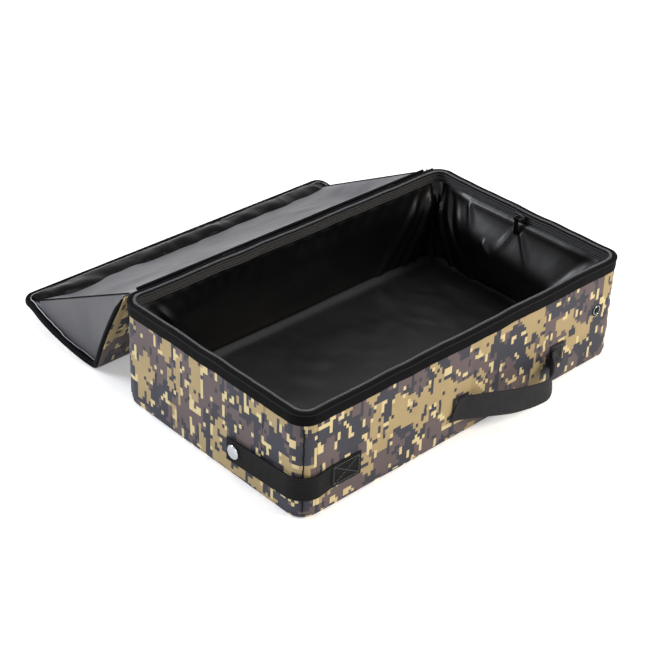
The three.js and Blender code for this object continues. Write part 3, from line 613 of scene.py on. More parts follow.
def wall_skin(side, middle, reach, reach_at_crease):
    """One wall's cloth, over both of its boards, with a groove along the crease half way up. reach is half
    its length, which is less at the crease on the short walls."""
    low = WALL_LOW - 0.0006
    tall = WALL_HIGH + 0.0004 - low
    seed = middle * 7

    def run_at(s, z):
        taper = 1 - smooth_step(abs(z - CREASE) / (CREASE - low))
        half = reach - (reach - reach_at_crease) * taper
        return middle + (s - 0.5) * 2 * half

    def place(s, t):
        z = low + tall * t
        run = run_at(s, z)
        hem = 0.0007 * noise.noise(Vector((run * 11, seed, 0.3))) * (1 - t) ** 3
        return tray_point(run, cloth_offset(run, z, seed), z + hem)

    def flat(s, t):
        z = low + tall * t
        return run_at(s, z), z

    columns = round(reach * 2 / 0.004)
    skin = finish_piece(f"{side}_wall_cloth", bent_sheet(columns, 30, place, flat), "camo",
                        BOARD_CASE, inside="lining")
    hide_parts(f"{side}_wall_lower", f"{side}_wall_upper")
    at = outline(middle)[0]
    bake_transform(skin)


def corner_reach(corner):
    """How far a corner's cloth runs from its middle, towards lower and towards higher runs. It tucks
    in a little way behind the walls' cloth."""
    along_x = QUARTER / 2 + CORNER_TUCK
    along_y = QUARTER / 2 + STRAIGHT_Y - SIDE_BOARD_HALF_AT_CREASE + CORNER_TUCK
    return (along_x, along_y) if corner in ("back_left", "front_right") else (along_y, along_x)


def corner_skin(corner):
    """The soft cloth round a corner, puckered along its seam."""
    before, after = corner_reach(corner)
    first = CORNER_RUNS[corner] - before
    wide = before + after
    low = WALL_LOW - 0.0004
    tall = WALL_HIGH - low

    def place(s, t):
        run = first + wide * s
        z = low + tall * t
        edge = min(s, 1 - s) * wide
        tuck = 0.0005 + 0.0007 * (1 - smooth_step(edge / 0.006))
        seam = 0.0011 * hill(from_corner(run, corner), 0.0012, 0.0009)
        pucker = 0.0006 * math.sin(z / 0.0041) * hill(from_corner(run, corner), 0, 0.004) - seam
        bulge = 0.0012 * math.sin(math.pi * t) * hill(from_corner(run, corner), 0, 0.02)
        return tray_point(run, cloth_offset(run, z, 3.1) - tuck + pucker + bulge, z)

    columns = round(wide / 0.0022)
    skin = finish_piece(f"{corner}_corner_cloth",
                        bent_sheet(columns, 40, place, lambda s, t: (first + wide * s, low + tall * t)),
                        "camo", CORNER_CLOTH, inside="lining")
    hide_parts(f"{corner}_gusset")
    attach(skin, "root")
    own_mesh(skin)


def corner_stitches(corner):
    """A run of dark stitches down the seam beside the corner. They are drawn about three times as
    wide as the thread, or they wouldn't show."""
    run = CORNER_RUNS[corner] + 0.0011
    stitch = trim_settings().stitch
    margin = 0.004
    row = bmesh.new()
    z = WALL_LOW + margin
    while z < WALL_HIGH - margin:
        at = tray_point(run + 0.0002 * math.sin(z * 900), 0.0002, z)
        add_block(row, at, facing_out(run), (0.0012, 0.0013, stitch * 1.45))
        z += stitch * 1.6
    stitches = finish_piece(f"{corner}_corner_stitches", row, "edge_thread")
    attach(stitches, "root")
    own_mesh(stitches)


class LITTERBOX_OT_walls(bpy.types.Operator):
    """Wrap the eight wall boards and the four soft corners in printed cloth"""
    bl_idname = "litter_box.walls"
    bl_label = "Walls and corners"

    def execute(self, context):
        wall_skin("back", 0.0, LONG_BOARD_HALF, LONG_BOARD_HALF)
        wall_skin("left", LEFT_MIDDLE, SIDE_BOARD_HALF, SIDE_BOARD_HALF_AT_CREASE)
        wall_skin("front", FRONT_MIDDLE, LONG_BOARD_HALF, LONG_BOARD_HALF)
        wall_skin("right", RIGHT_MIDDLE, SIDE_BOARD_HALF, SIDE_BOARD_HALF_AT_CREASE)
        for corner in CORNER_RUNS:
            corner_skin(corner)
            corner_stitches(corner)
        return {"FINISHED"}


class LITTERBOX_OT_base(bpy.types.Operator):
    """Case the two base boards in printed cloth with a soft rounded edge"""
    bl_idname = "litter_box.base"
    bl_label = "Base"

    def execute(self, context):
        top = WALL_LOW - 0.0004
        # the edge's profile, from the underside round to the top: (offset out of the tray, height)
        points = [Vector((a, 0, b)) for a, b in (
            (-0.012, 0.0003), (-0.004, 0.0003), (-0.0016, 0.0006), (-0.0005, 0.0016), (-0.0001, 0.0026),
            (-0.0001, top - 0.0015), (-0.0008, top - 0.0004), (-0.0022, top), (-0.012, top))]

        def place(s, t):
            profile = along_points(points, t)
            run = PERIMETER * s
            at = outline(run)[0]
            wave = 0.0005 * noise.noise(Vector((at.x * 16, at.y * 16, 5.2)))
            wave *= smooth_step((profile.x + 0.006) / 0.006)
            return tray_point(run, profile.x + wave, profile.z)

        shape = bent_sheet(440, 16, place, lambda s, t: (PERIMETER * s, 0.012 * (t - 0.5)))
        edge = finish_piece("base_edge_cloth", shape, "camo", 0.0006)
        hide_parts("base_cover")
        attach(edge, "root")
        sheet = bmesh.new()
        count = 96
        ring = bmesh.ops.create_circle(sheet, segments=count, radius=0.1, cap_ends=True)["verts"]
        for i, vert in enumerate(ring):
            vert.co = tray_point(PERIMETER * i / count, -0.009, 0.0004)
        up = bmesh.ops.extrude_face_region(sheet, geom=sheet.faces[:])
        moved = [item for item in up["geom"] if isinstance(item, bmesh.types.BMVert)]
        bmesh.ops.translate(sheet, verts=moved, vec=(0, 0, top - 0.0006))
        uv = sheet.loops.layers.uv.new("cloth")
        for face in sheet.faces:
            for loop in face.loops:
                loop[uv].uv = loop.vert.co.xy
        under = finish_piece("base_cloth", sheet, "camo")
        for polygon in under.data.polygons:
            polygon.use_smooth = False
        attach(under, "root")
        for board in ("base_board_left", "base_board_right"):
            paint_node(board, "board")
        return {"FINISHED"}


def paint_node(name, material):
    """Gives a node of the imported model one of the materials."""
    mesh = frame["nodes"][name].data
    mesh.materials.clear()
    mesh.materials.append(finishes()[material])


# ---- rim

def rim_lift(turn):
    """How far the rim waves up or down at a turn round it."""
    return RIM_WAVE * noise.noise(Vector((math.cos(turn) * 9, math.sin(turn) * 9, RIM_SEED)))


def round_ring(name, profile, steps, material, wobble):
    """A band that runs all the way round the tray with one profile of (offset, height) points."""
    points = [Vector((a, 0, b)) for a, b in profile]
    wide = line_length(points)

    def place(s, t):
        at = along_points(points, t)
        turn = s * 2 * math.pi
        fine = Vector((math.cos(turn) * 22, math.sin(turn) * 22, RIM_SEED + at.z * 60))
        return tray_point(PERIMETER * s, at.x + wobble * noise.noise(fine), at.z + rim_lift(turn))

    shape = bent_sheet(RIM_COLUMNS, steps, place, lambda s, t: (PERIMETER * s, wide * t))
    return finish_piece(name, shape, material)


def zip_coil():
    """The tray's half of the zip: a row of coil turns along its tape."""
    pitch = trim_settings().tooth_pitch
    count = round(PERIMETER / pitch)
    row = bmesh.new()
    for i in range(count):
        run = PERIMETER * i / count
        at = tray_point(run, -0.0054, RIM_HIGH - 0.0007 + rim_lift(run / PERIMETER * 2 * math.pi))
        add_block(row, at, facing_out(run), (0.0030, pitch * 0.62, 0.0017))
    bmesh.ops.bevel(row, geom=row.edges[:], offset=0.0003, segments=1, profile=0.5,
                    affect="EDGES", material=-1)
    # the coil material's grey is painted highlight
    teeth = finish_piece("rim_zip_coil", row, "coil")
    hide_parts("rim_zip_teeth")
    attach(teeth, "rim")


def zip_pull():
    """The slider's pull, a ribbon folded over its eye."""
    low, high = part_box("zip_pull")
    middle_x = (low.x + high.x) / 2
    tall = high.z - low.z
    wide = high.y - low.y
    # (metres in x, share of the way down)
    loop = [Vector((middle_x + x, 0, high.z - 0.0004 - tall * z)) for x, z in (
        (0.0, 0.0), (0.0016, 0.05), (0.0016, 0.12), (0.0006, 0.22), (0.0005, 0.8), (0.0002, 0.98),
        (-0.0003, 0.99), (-0.0005, 0.8), (-0.0006, 0.22), (-0.0016, 0.12), (-0.0016, 0.05),
        (0.0, 0.0))]
    pull = strap_strip("zip_pull_ribbon", curve_through(loop, 4), [Vector((0, 1, 0))] * 2,
                       wide * 0.85, 0.0008, "binding")
    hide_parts("zip_pull")
    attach(pull, "pull")
    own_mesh(pull)


class LITTERBOX_OT_rim(bpy.types.Operator):
    """Bind the rim with woven tape, and sew the zip round its inside"""
    bl_idname = "litter_box.rim"
    bl_label = "Rim and zip"

    def execute(self, context):
        top = RIM_HIGH
        low = RIM_LOW - 0.0002
        wobble = 0.0003
        fold = [(0.0002, low), (0.0012, low + 0.0004), (0.0014, low + 0.006), (0.0014, top - 0.0024),
                (0.0010, top - 0.0008), (-0.0002, top), (-0.0028, top), (-0.0038, top - 0.0010),
                (-0.0040, top - 0.004), (-0.0040, low + 0.001), (-0.0030, low), (0.0002, low)]
        binding = round_ring("rim_tape", fold, 30, "binding", wobble)
        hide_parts("rim_binding")
        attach(binding, "rim")

        edge_z = top - 0.0016
        bead = [(0.0013 + 0.0006 * math.cos(a), edge_z + 0.0006 * math.sin(a))
                for a in (i * math.pi / 3 for i in range(7))]
        edge = round_ring("rim_edge_thread", bead, 6, "edge_thread", 0.0)
        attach(edge, "rim")

        # the tape's ribs stand out by turns on its inner face, down from the top
        ribs = [(-0.0068 + 0.0007 * math.cos(i * math.pi / 2), top - 0.0028 - 0.0007 * i)
                for i in range(15)]
        band = [(-0.0043, RIM_LOW), (-0.0043, top - 0.0016), (-0.0066, top - 0.0018), *ribs,
                (-0.0064, RIM_LOW), (-0.0043, RIM_LOW)]
        tape = round_ring("rim_zip_band", band, 44, "zip_tape", wobble)
        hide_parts("rim_zip_tape")
        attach(tape, "rim")

        zip_coil()
        paint_node("zip_slider", "lacquer")
        zip_pull()
        return {"FINISHED"}


# ---- webbing

def strap_strip(name, line, acrosses, width, thickness, material, steps=0, cup=0.0):
    """A flat strip along a line. acrosses holds the directions across it, spread over its length, and
    cup is how far its middle bows out of flat."""
    long = line_length(line)
    steps = steps or max(8, round(long / 0.002))

    def across_at(s):
        place = s * (len(acrosses) - 1)
        i = min(int(place), len(acrosses) - 2)
        return acrosses[i].lerp(acrosses[i + 1], place - i).normalized()

    def place(s, t):
        at = along_points(line, s)
        way = direction(line, s, 0.004)
        across = across_at(s)
        out = way.cross(across)
        bow = cup * (1 - (2 * t - 1) ** 2)
        return at + across * (t - 0.5) * width + out * bow

    shape = bent_sheet(steps, 10, place, lambda s, t: (long * s, width * t))
    return finish_piece(name, shape, material, thickness, offset=0.0)


def stitch_run(row, start, end, out):
    """Stitches in a line from start to end on a surface that faces out."""
    step = trim_settings().stitch
    way = (end - start).normalized()
    side = out.cross(way)
    turn = Matrix((way, side, out)).transposed().to_4x4()
    count = max(1, round((end - start).length / (step * STITCH_GAP)))
    for i in range(count):
        add_block(row, start.lerp(end, (i + 0.5) / count), turn, (step, THREAD, THREAD))


def sewn_patch(name, node_name, material):
    """A webbing end sewn flat to the front wall with a box and a cross of stitches."""
    low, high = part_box(node_name)
    line = [Vector((x, (low.y + high.y) / 2, (low.z + high.z) / 2)) for x in (low.x, high.x)]
    patch = strap_strip(name, line, [Vector((0, 0, 1))] * 2, high.z - low.z, high.y - low.y, material,
                        steps=16)
    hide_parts(node_name)
    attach(patch, "front_lower")
    inset = 0.0028
    face = low.y - 0.0002
    x0, x1 = low.x + inset, high.x - inset
    z0, z1 = low.z + inset, high.z - inset
    corners = [Vector((x, face, z)) for x, z in ((x0, z0), (x1, z0), (x1, z1), (x0, z1))]
    row = bmesh.new()
    out = Vector((0, -1, 0))
    for a, b in zip(corners, corners[1:] + corners[:1]):
        stitch_run(row, a, b, out)
    stitch_run(row, corners[0], corners[2], out)
    stitch_run(row, corners[1], corners[3], out)
    stitches = finish_piece(f"{name}_stitches", row, "thread")
    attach(stitches, "front_lower")


def turned(name, profile, radius, height, foot, axis, material):
    """A round piece that stands on its foot along an axis. profile holds points, from pole to pole, as
    (share of its radius, share of its height)."""
    points = [Vector((r * radius, 0, h * height)) for r, h in profile]
    side = axis.orthogonal().normalized()
    other = axis.cross(side)

    def place(s, t):
        at = along_points(points, t)
        turn = s * 2 * math.pi
        return foot + axis * at.z + (side * math.cos(turn) + other * math.sin(turn)) * at.x

    shape = bent_sheet(40, 24, place, lambda s, t: (s * 0.04, t * 0.02))
    return finish_piece(name, shape, material)


def carry_handle():
    """The limp handle on the front wall, sewn down at both ends."""
    low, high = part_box("front_handle")
    patch_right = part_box("front_handle_patch_right")[0].x
    patch_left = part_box("front_handle_patch_left")[0].x
    span = patch_right - patch_left
    near = high.y - 0.0009
    reach = near - low.y - 0.0012
    height = high.z - WEBBING_WIDTH / 2
    droop = height - low.z - WEBBING_WIDTH / 2
    # from left to right: shares of its span, of its reach and of its droop
    hang = ((0.0, 0.0, 0.0), (0.08, 0.10, 0.0), (0.22, 0.42, 0.15), (0.45, 0.8, 0.6),
            (0.68, 1.0, 0.95), (0.82, 0.94, 1.0), (0.93, 0.5, 0.75), (0.985, 0.14, 0.4),
            (1.06, 0.0, 0.3))
    line = curve_through([Vector((patch_left + a * span, near - b * reach, height - c * droop))
                          for a, b, c in hang], 8)
    # the webbing twists a little from its left end and leans out along its middle
    leans = [Vector(lean) for lean in (
        (0.5, 0, 1), (0.3, 0.05, 1), (0.05, 0.22, 1), (0, 0.34, 1), (0, 0.16, 1), (0, 0.05, 1),
        (0, 0, 1), (0, 0, 1), (0, 0, 1))]
    handle = strap_strip("handle_webbing", line, leans, WEBBING_WIDTH, WEBBING_THICKNESS, "handle",
                         steps=110, cup=-0.0012)
    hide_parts("front_handle")
    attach(handle, "handle")
    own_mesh(handle)
    sewn_patch("handle_patch_left", "front_handle_patch_left", "handle")
    sewn_patch("handle_patch_right", "front_handle_patch_right", "handle")


def corner_strap():
    """The strap along the front wall, round the corner and down a little along the left wall."""
    sewn_patch("strap_patch", "corner_strap_patch", "webbing")
    low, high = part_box("corner_strap")
    height = high.z - WEBBING_WIDTH / 2
    drop = height - low.z - WEBBING_WIDTH / 2
    radius = -low.x - HALF_X + CORNER_RADIUS - WEBBING_THICKNESS / 2
    centre = Vector((-STRAIGHT_X, -STRAIGHT_Y, height))
    begin = Vector((high.x, -HALF_Y - 0.0011, height))
    points = [begin, (begin + Vector((centre.x, centre.y - radius, height))) / 2]
    for i in range(13):
        turn = -math.pi / 2 - i / 12 * math.pi / 2
        points.append(centre + Vector((math.cos(turn), math.sin(turn), 0)) * radius)
    for share in (0.3, 0.65, 1.0):
        points.append(Vector((centre.x - radius, centre.y + (high.y - centre.y) * share,
                              height - drop * share)))
    strap = strap_strip("strap_webbing", points, [Vector((0, 0, 1))] * 2, WEBBING_WIDTH,
                        WEBBING_THICKNESS, "webbing", steps=90, cup=0.0004)
    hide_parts("corner_strap")
    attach(strap, "strap")


def snap():
    """The snap: its cap and socket on the strap, and its stud on the front wall."""
    low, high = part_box("snap_cap")
    middle = (low + high) / 2
    dome = ((0, 1), (0.5, 0.9), (0.86, 0.6), (0.98, 0.3), (1, 0.12), (0.97, 0), (0, 0))
    cap = turned("snap_dome", dome, (high.y - low.y) / 2, high.x - low.x,
                 Vector((high.x, middle.y, middle.z)), Vector((-1, 0, 0)), "nickel")
    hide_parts("snap_cap")
    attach(cap, "strap")
    low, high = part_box("snap_socket")
    middle = (low + high) / 2
    well = ((0, 0), (0.9, 0), (1, 0.4), (0.96, 1), (0.62, 1), (0.55, 0.6), (0.45, 0.5), (0, 0.5))
    socket = turned("snap_well", well, (high.y - low.y) / 2, high.x - low.x,
                    Vector((low.x, middle.y, middle.z)), Vector((1, 0, 0)), "nickel")
    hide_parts("snap_socket")
    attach(socket, "strap")
    low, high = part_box("snap_stud")
    middle = (low + high) / 2
    stand = ((high.x - low.x) / 2, high.y - low.y, Vector((middle.x, high.y, middle.z)),
             Vector((0, -1, 0)))
    stud = turned("snap_stud_flange", ((0, 0), (1.04, 0), (1.08, 0.3), (1.02, 0.5), (0.9, 0.45),
                                       (0.84, 0.3), (0, 0.3)), *stand, "dark_nickel")
    ring = turned("snap_stud_ring", ((0.68, 0.3), (0.68, 0.55), (0.74, 0.72), (0.8, 0.55),
                                     (0.8, 0.3), (0.68, 0.3)), *stand, "nickel")
    post = turned("snap_stud_post", ((0.4, 0.3), (0.42, 0.6), (0.36, 0.85), (0.28, 1), (0.16, 0.9),
                                     (0, 0.7)), *stand, "dark_nickel")
    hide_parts("snap_stud")
    for metal in (stud, ring, post):
        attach(metal, "front_upper")


class LITTERBOX_OT_webbing(bpy.types.Operator):
    """Sew on the carry handle and the corner strap with its snap"""
    bl_idname = "litter_box.webbing"
    bl_label = "Handle and strap"

    def execute(self, context):
        carry_handle()
        corner_strap()
        snap()
        return {"FINISHED"}


# ---- linings

def corner_folds(run, z, low, tall):
    """Loose cloth gathers in the tray's corners: folds fan out and down from the top of each one."""
    up = min(max((z - low) / tall, 0), 1)
    envelope = smooth_step((1 - up) / 0.30) * (0.45 + 0.55 * smooth_step(up / 0.5))
    fold_depth = lining_settings().fold_depth
    total = 0.0
    for number, corner in enumerate(CORNER_RUNS):
        away = from_corner(run, corner)
        if abs(away) > GATHER_REACH:
            continue
        total += 0.0075 * hill(away, 0, 0.013) * smooth_step((1 - up) / 0.22)
        # four folds on each side: k counts them out from the corner, and each is weaker than the last
        for k in (-4, -3, -2, -1, 1, 2, 3, 4):
            lean = (0.010 + 0.0130 * abs(k)) * (1 if k > 0 else -1)
            fan = lean * (0.42 + 1.05 * (1 - up)) + 0.003 * math.sin(number * 2.1 + k * 1.7)
            width = (0.0020 + 0.0009 * abs(k)) * (0.7 + 0.8 * (1 - up))
            deep = fold_depth * (1 - abs(k) / 6) * (0.75 + 0.25 * math.sin(k * 2.7 + number))
            total += deep * hill(away, fan, width) * envelope
    return total


def crease_at(run, z, start, end):
    """Share of a crease's depth at a place on the wall: it is sharp at its start and runs out at its
    end."""
    way = (end[0] - start[0], end[1] - start[1])
    share = ((run - start[0]) * way[0] + (z - start[1]) * way[1]) / (way[0] ** 2 + way[1] ** 2)
    share = min(max(share, 0), 1)
    away = math.hypot(run - start[0] - way[0] * share, z - start[1] - way[1] * share)
    return hill(away, 0, 0.0022 + 0.0022 * share) * (1 - smooth_step(share))


def hang_lining(low):
    """The walls' lining, hung slack from the zip's tape down to the height low."""
    tall = RIM_LOW + 0.0015 - low
    slack = lining_settings().slack
    pleats = 57
    # the zip's pull tugs creases into the far wall's lining. Both ends of each, as metres from the
    # wall's middle and share of its height
    pull_creases = [
        ((RIGHT_MIDDLE + a, low + tall * b), (RIGHT_MIDDLE + c, low + tall * d)) for a, b, c, d in (
            (0.004, 0.88, 0.022, 0.42), (0.034, 0.62, 0.010, 0.36), (-0.006, 0.86, -0.034, 0.52),
            (-0.066, 0.30, -0.090, 0.10), (-0.054, 0.26, -0.070, 0.08), (0.070, 0.90, 0.050, 0.60))]

    def place(s, t):
        run = PERIMETER * s
        z = low + tall * t
        down = 1 - t
        # most walls' lining hangs in a shallow sag
        free = smooth_step(down / 0.34) * (1 - 0.75 * smooth_step((down - 0.45) / 0.55))
        # the far wall's has a deep belly, whose ridge slants down towards the back
        across = min(max((run - RIGHT_MIDDLE) / STRAIGHT_Y, -1), 1)
        far = 1 - smooth_step((abs(run - RIGHT_MIDDLE) - FAR_BELLY) / FAR_BELLY)
        ridge = 0.50 - 0.17 * across
        belly = smooth_step(down / ridge) * (1 - 0.8 * smooth_step((down - ridge) / (1 - ridge)))
        at = outline(run)[0]
        slow = noise.noise(Vector((at.x * 8, at.y * 8, z * 9 + 2.2)))
        quick = noise.noise(Vector((at.x * 26, at.y * 26, z * 20 + 8.8)))
        sag = slack * (0.30 * (1 - far) * free * (0.8 + 0.9 * slow)
                       + far * belly * (1.08 - 0.34 * across + 0.3 * slow))
        sag += 0.0008 * quick * math.sin(math.pi * t)
        creases = sum(0.0021 * crease_at(run, z, a, b) for a, b in pull_creases)
        # the lining is held by the zip's seam, so little pleats hang from it
        pleat = (0.0005 * (1 - far) * math.sin(2 * math.pi * pleats * s + 5 * slow)
                 * hill(down, 0.10, 0.09))
        ledge = 0.0012 + 0.0026 * far
        folds = corner_folds(run, z, low, tall)
        inward = ledge * smooth_step(down / 0.06) + max(0, sag + pleat) + creases + folds
        return tray_point(run, -LINING_INSET - inward, z)

    shape = bent_sheet(760, 44, place, lambda s, t: (PERIMETER * s, tall * t))
    walls = finish_piece("lining_walls", shape, "lining", LINING_THICKNESS)
    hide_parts("liner")
    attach(walls, "root")
    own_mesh(walls)


def lay_lining(low):
    """The floor's lining, laid loose over the base at the height low."""
    inset = 0.0052
    span_x = HALF_X - inset
    span_y = HALF_Y - inset
    corner = CORNER_RADIUS - inset

    def place(s, t):
        """It turns up at its edge, and has a few low rucks."""
        x = (2 * s - 1) * span_x
        y = (2 * t - 1) * span_y
        over_x = max(0, abs(x) - (span_x - corner))
        over_y = max(0, abs(y) - (span_y - corner))
        far = math.hypot(over_x, over_y)
        if over_x and over_y and far > corner:
            x -= math.copysign(over_x * (1 - corner / far), x)
            y -= math.copysign(over_y * (1 - corner / far), y)
        edge = min(span_x - abs(x), span_y - abs(y))
        rise = 0.006 * hill(edge, 0, 0.007)
        ruck = 0.0016 * max(0, noise.noise(Vector((x * 16, y * 22, 0.4))))
        ruck += 0.0007 * noise.noise(Vector((x * 55, y * 40, 3.4)))
        return Vector((x, y, low + 0.0008 + rise + max(0, ruck) * smooth_step(edge / 0.02)))

    shape = bent_sheet(150, 90, place, lambda s, t: (2 * s * span_x, 2 * t * span_y))
    floor_piece = finish_piece("lining_floor", shape, "lining_floor", LINING_THICKNESS)
    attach(floor_piece, "root")
    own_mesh(floor_piece)


class LITTERBOX_OT_lining(bpy.types.Operator):
    """Hang the loose waterproof lining inside the tray"""
    bl_idname = "litter_box.lining"
    bl_label = "Tray lining"

    def execute(self, context):
        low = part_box("liner")[0].z + 0.0004
        hang_lining(low)
        lay_lining(low)
        return {"FINISHED"}


# ---- the lid

INNER_WAY = Vector((0, math.cos(HANG_ANGLE), -math.sin(HANG_ANGLE)))
INNER_OUT = Vector((0, math.sin(HANG_ANGLE), math.cos(HANG_ANGLE)))
OUTER_WAY = Vector((0, math.cos(LIE_ANGLE), math.sin(LIE_ANGLE)))
OUTER_OUT = Vector((0, -math.sin(LIE_ANGLE), math.cos(LIE_ANGLE)))
INNER_LENGTH = (FOLD - HINGE).dot(INNER_WAY)
LID_LENGTH = INNER_LENGTH + OUTER_LENGTH


def lid_path(s, out):
    """A point on the lid's middle line at s from the hinge, stood off it by out, at x = 0."""
    if s <= INNER_LENGTH - FOLD_ROUND:
        return HINGE + INNER_WAY * s + INNER_OUT * (out + LID_MIDDLE)
    if s >= INNER_LENGTH + FOLD_ROUND:
        return FOLD + OUTER_WAY * (s - INNER_LENGTH) + OUTER_OUT * out
    a = FOLD - INNER_WAY * FOLD_ROUND
    b = FOLD + OUTER_WAY * FOLD_ROUND
    t = (s - INNER_LENGTH + FOLD_ROUND) / (2 * FOLD_ROUND)
    at = a.lerp(FOLD, t).lerp(FOLD.lerp(b, t), t)
    way = (FOLD - a).lerp(b - FOLD, t).normalized()
    return at + Vector((0, -way.z, way.y)) * out


def bend_at_strip(piece):
    """Bakes the placement of a piece of the lid's upper part into its mesh."""
    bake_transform(piece)


def bend_at_fold(piece):
    """Bakes the placement of a piece of the lid's lower part into its mesh."""
    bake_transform(piece)


def side_bow(s):
    """How far the lid's ends belly out at s from the hinge, between their corners."""
    if s < INNER_LENGTH:
        share = s / INNER_LENGTH
    else:
        share = min((s - INNER_LENGTH) / (OUTER_LENGTH - LID_CORNER_RADIUS), 1)
    return SIDE_BOW * math.sin(math.pi * share)


def rounded_half(s):
    """Half the lid's length in x at s from the hinge: its free corners are rounded."""
    past = s - (LID_LENGTH - LID_CORNER_RADIUS)
    if past <= 0:
        return LID_HALF_LENGTH + side_bow(s)
    return LID_HALF_LENGTH - LID_CORNER_RADIUS + math.sqrt(max(LID_CORNER_RADIUS ** 2 - past ** 2, 0))


def lid_sheet(name, first, last, low, thick, material, inset, seed, slot_name):
    """A layer of the lid from first to last along it, low above the panels' middle and inset from the
    short edges."""
    def place(s, t):
        along = first + (last - first) * t
        half = rounded_half(along) - inset
        x = (2 * s - 1) * half
        wave = 0.0007 * noise.noise(Vector((x * 15, along * 17, seed)))
        rim = smooth_step(min(half - abs(x), LID_LENGTH - along) / 0.006)
        at = lid_path(along, low + wave * rim)
        return Vector((x, at.y, at.z))

    def flat(s, t):
        along = first + (last - first) * t
        return (2 * s - 1) * LID_HALF_LENGTH, -along

    rows = max(10, round((last - first) / 0.0035))
    piece = finish_piece(name, bent_sheet(110, rows, place, flat), material, thick)
    return piece


def tube_along(name, line, radius, material, sides):
    """A thin cord along a line of points."""
    long = line_length(line)

    def place(s, t):
        at = along_points(line, s)
        way = direction(line, s, 0.002)
        side = way.orthogonal().normalized()
        turn = t * 2 * math.pi
        return at + (side * math.cos(turn) + way.cross(side) * math.sin(turn)) * radius

    steps = max(8, round(long / 0.0016))
    shape = bent_sheet(steps, sides, place, lambda s, t: (long * s, 2 * math.pi * radius * t))
    bmesh.ops.holes_fill(shape, edges=[edge for edge in shape.edges if edge.is_boundary], sides=0)
    return finish_piece(name, shape, material)


def edge_binding(name, track, taper=0.0):
    """Binding folded over the lid's edge. track(s) gives the edge's middle, the way in across the lid
    and the lid's own out direction. It grows from a thin start over the length taper."""
    # (way in from the edge, height above the panel's middle)
    profile = [Vector((a, 0, b)) for a, b in (
        (0.0076, -0.0008), (0.0016, -0.0013), (0.0002, -0.0008), (-0.0004, 0.0008), (-0.0003, 0.0030),
        (0.0010, 0.0045), (0.0048, 0.0044), (0.0072, 0.0034), (0.0080, 0.0018), (0.0076, -0.0008))]
    long = track_length(track)

    def place(s, t):
        middle, inward, out = track(s)
        at = along_points(profile, t)
        wave = BINDING_RIPPLE * (noise.noise(middle * 24) + 0.5 * noise.noise(middle * 70))
        up = wave * smooth_step(at.z / 0.004)
        grow = 0.35 + 0.65 * smooth_step(s * long / taper) if taper else 1.0
        return middle + inward * (at.x * grow + wave) + out * (at.z * grow + up)

    def flat(s, t):
        return s * long, t * 0.02

    steps = max(20, round(long / 0.0025))
    shape = bent_sheet(steps, 16, place, flat)
    bmesh.ops.holes_fill(shape, edges=[edge for edge in shape.edges if edge.is_boundary], sides=0)
    piece = finish_piece(name, shape, "binding")
    return piece


def track_length(track):
    """Length of a track, measured in forty steps."""
    return line_length([track(i / 40)[0] for i in range(41)])


def side_track(side, first, last):
    """One short edge of the lid, from first to last along it: side is -1 on the left, 1 on the right."""
    def track(s):
        along = first + (last - first) * s
        at = lid_path(along, 0)
        above = lid_path(along, 0.001)
        out = (above - at).normalized()
        edge = Vector((side * (LID_HALF_LENGTH + side_bow(along)), at.y, at.z))
        return edge, Vector((-side, 0, 0)), out
    return track


def free_track():
    """Round the outer panel: down one side, round the corner, along the free edge and back."""
    straight = LID_LENGTH - LID_CORNER_RADIUS - LAYER_JOIN
    quarter = LID_CORNER_RADIUS * math.pi / 2
    along_x = 2 * (LID_HALF_LENGTH - LID_CORNER_RADIUS)
    legs = [straight, quarter, along_x, quarter, straight]

    def track(s):
        left = s * sum(legs)
        which = 0
        while which < 4 and left > legs[which]:
            left -= legs[which]
            which += 1
        if which in (0, 4):
            along = LAYER_JOIN + (left if which == 0 else straight - left)
            side = 1 if which == 0 else -1
            return side_track(side, 0, 1)(along)
        if which == 2:
            x = along_x / 2 - left
            at = lid_path(LID_LENGTH, 0)
            return Vector((x, at.y, at.z)), -OUTER_WAY, OUTER_OUT
        turn = left / LID_CORNER_RADIUS
        side = 1 if which == 1 else -1
        if which == 3:
            turn = math.pi / 2 - turn
        centre = lid_path(LID_LENGTH - LID_CORNER_RADIUS, 0)
        centre.x = side * (LID_HALF_LENGTH - LID_CORNER_RADIUS)
        out_way = Vector((side, 0, 0)) * math.cos(turn) + OUTER_WAY * math.sin(turn)
        return centre + out_way * LID_CORNER_RADIUS, -out_way, OUTER_OUT
    return track


def coil_line(name, track):
    """The lid's half of the zip: a wavy coil that stands on its binding."""
    points = []
    count = round(track_length(track) / 0.003)
    for i in range(count + 1):
        middle, inward, out = track(i / count)
        wave = noise.noise(middle * 48) * 0.0016 + noise.noise(middle * 140) * 0.0007
        points.append(middle + inward * (0.0056 + wave) + out * (0.0044 + 0.4 * wave))
    # drawn in the lid's light grey coil colour, a painted highlight
    piece = tube_along(name, points, 0.0006, "lid_coil", 6)
    return piece


